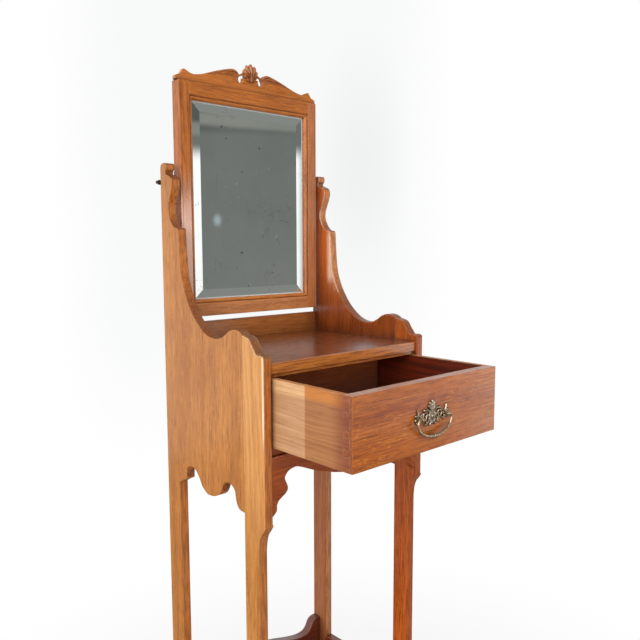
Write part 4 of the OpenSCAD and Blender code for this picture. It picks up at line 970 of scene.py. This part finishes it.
def make_world():
    """A light grey wall to the camera, a grey room with two pale windows to glossy rays, and soft
    light to the rest."""
    world = bpy.data.worlds.new("studio")
    bpy.context.scene.world = world
    world.use_nodes = True
    world.node_tree.nodes.clear()
    t = Tree(world.node_tree)
    way = t.node("ShaderNodeTexCoord").outputs["Generated"]
    x, y, z = t.split(way)
    heading = t.math("MULTIPLY", t.math("ARCTAN2", y, x), 180 / math.pi)
    rise = t.math("MULTIPLY", t.math("ARCSINE", z), 180 / math.pi)

    def between(value, ends, blur):
        a, b = ends
        return t.math("MULTIPLY", t.remap(value, a - blur, a + blur),
                      t.remap(value, b + blur, b - blur))

    # Soft light: strong from the left, weaker from the front and right
    left = t.remap(x, 0.9, -0.9, 0.0, 1.0)
    soft = t.math("ADD", t.math("MULTIPLY_ADD", left, 0.95, 0.42),
                  t.remap(z, 0.0, 1.0, 0.0, 0.20))
    soft = t.math("MULTIPLY", soft, t.remap(z, -0.5, 0.1, 0.5, 1.0))

    # The room seen in gloss and in the mirror
    room = t.mix(t.remap(rise, *ROOM_RISES), ROOM_LOW, ROOM_HIGH)
    dark_patch = t.math("MULTIPLY", between(rise, DARK_PATCH_RISES, 0.5),
                     between(heading, DARK_PATCH_HEADINGS, 1.0))
    room = t.mix(dark_patch, room, DARK_PATCH)
    stripe = t.math("MULTIPLY_ADD", heading, 0.06, t.math("ADD", rise, 3.2))
    room = t.mix(t.math("MULTIPLY", between(stripe, STRIPE_RISES, 0.25), 0.9), room, STRIPE)
    windows = t.math("ADD", *(between(heading, ends, 0.4) for ends in WINDOWS_HEADINGS))
    room = t.mix(t.math("MULTIPLY", windows, t.remap(rise, *WINDOWS_TOP)), room, WINDOWS)
    spot = t.vector("LENGTH", t.join(t.math("MULTIPLY_ADD", heading, 1.5, -1.5 * SPOT_HEADING),
                                     t.math("SUBTRACT", rise, SPOT_RISE), 0.0))
    room = t.mix(t.remap(spot, 0.7, 0.1, 0.0, 0.8), room, SPOT)
    gloss = t.mix(between(heading, ROOM_HEADINGS, 3.0),
                  t.mix(left, ROOM_SIDE_PALE, ROOM_SIDE_LIGHT), room)

    # A tall bright window behind the camera, which only rounded edges catch
    tall = t.math("MULTIPLY", between(heading, TALL_HEADINGS, 4.0), between(rise, TALL_RISES, 4.0))
    gloss = t.mix(tall, gloss, TALL)

    path = t.node("ShaderNodeLightPath")
    tint = t.mix(path.outputs["Is Glossy Ray"], t.join(soft, soft, soft), gloss)

    # The wall behind: white, a little grey towards the left and above, with a soft shadow
    wall = t.math("MULTIPLY", between(heading, WALL_HEADINGS, 3.5), t.remap(rise, *WALL_RISES))
    seen = t.mix(t.math("MULTIPLY", wall, 0.55), WHITE, WALL_GREY)
    shadow = t.vector("LENGTH", t.join(t.math("MULTIPLY_ADD", heading, 1.5, -66.0),
                                       t.math("MULTIPLY_ADD", rise, 0.6, -4.0), 0.0))
    seen = t.mix(t.remap(shadow, 7.0, 1.0, 0.0, 0.45), seen, WALL_SHADOW)
    tint = t.mix(path.outputs["Is Camera Ray"], tint, seen)
    shade = t.node("ShaderNodeBackground")
    t.feed(shade.inputs[0], tint)
    out = t.node("ShaderNodeOutputWorld")
    t.feed(out.inputs[0], shade.outputs[0])


make_world()

LAMP_AT, LAMP_AIM = Vector((-2.6, -1.3, 1.7)), Vector((0, 0, 0.95))
LAMP_WIDTH, LAMP_HEIGHT, LAMP_WATTS = 1.6, 2.2, 26
LAMP_COLOUR = (1.0, 0.985, 0.96)


def make_lamp():
    """One large soft lamp from the left and front."""
    data = bpy.data.lights.new("window", "AREA")
    data.shape = "RECTANGLE"
    data.size = LAMP_WIDTH
    data.size_y = LAMP_HEIGHT
    data.energy = LAMP_WATTS
    data.color = LAMP_COLOUR
    lamp = bpy.data.objects.new("window", data)
    bpy.context.collection.objects.link(lamp)
    lamp.location = LAMP_AT
    lamp.rotation_euler = (LAMP_AIM - LAMP_AT).to_track_quat("-Z", "Y").to_euler()


make_lamp()

# ---------- camera ----------

CAMERA_AT = Vector((-0.9048, -0.9617, 1.1229))
CAMERA_TURN = -0.7438                       # radians from looking along +Y
CAMERA_DIP = 0.1080
CAMERA_ROLL = -0.0027
CAMERA_LENS, PICTURE_WIDTH = 38.53, 36.0    # mm


def make_camera():
    """The camera of the photograph, fitted to the stand's straight edges."""
    turn, dip, roll = CAMERA_TURN, CAMERA_DIP, CAMERA_ROLL
    ahead = Vector((-math.sin(turn) * math.cos(dip), math.cos(turn) * math.cos(dip),
                    -math.sin(dip)))
    right = Vector((math.cos(turn), math.sin(turn), 0))
    up = right.cross(ahead)
    right, up = (right * math.cos(roll) + up * math.sin(roll),
                 up * math.cos(roll) - right * math.sin(roll))
    data = bpy.data.cameras.new("camera")
    data.lens = CAMERA_LENS
    data.sensor_width = PICTURE_WIDTH
    camera = bpy.data.objects.new("camera", data)
    bpy.context.collection.objects.link(camera)
    turned = Matrix((right, up, -ahead)).transposed().to_4x4()
    camera.matrix_world = Matrix.Translation(CAMERA_AT) @ turned
    bpy.context.scene.camera = camera


make_camera()
bpy.context.scene.view_settings.view_transform = "Standard"
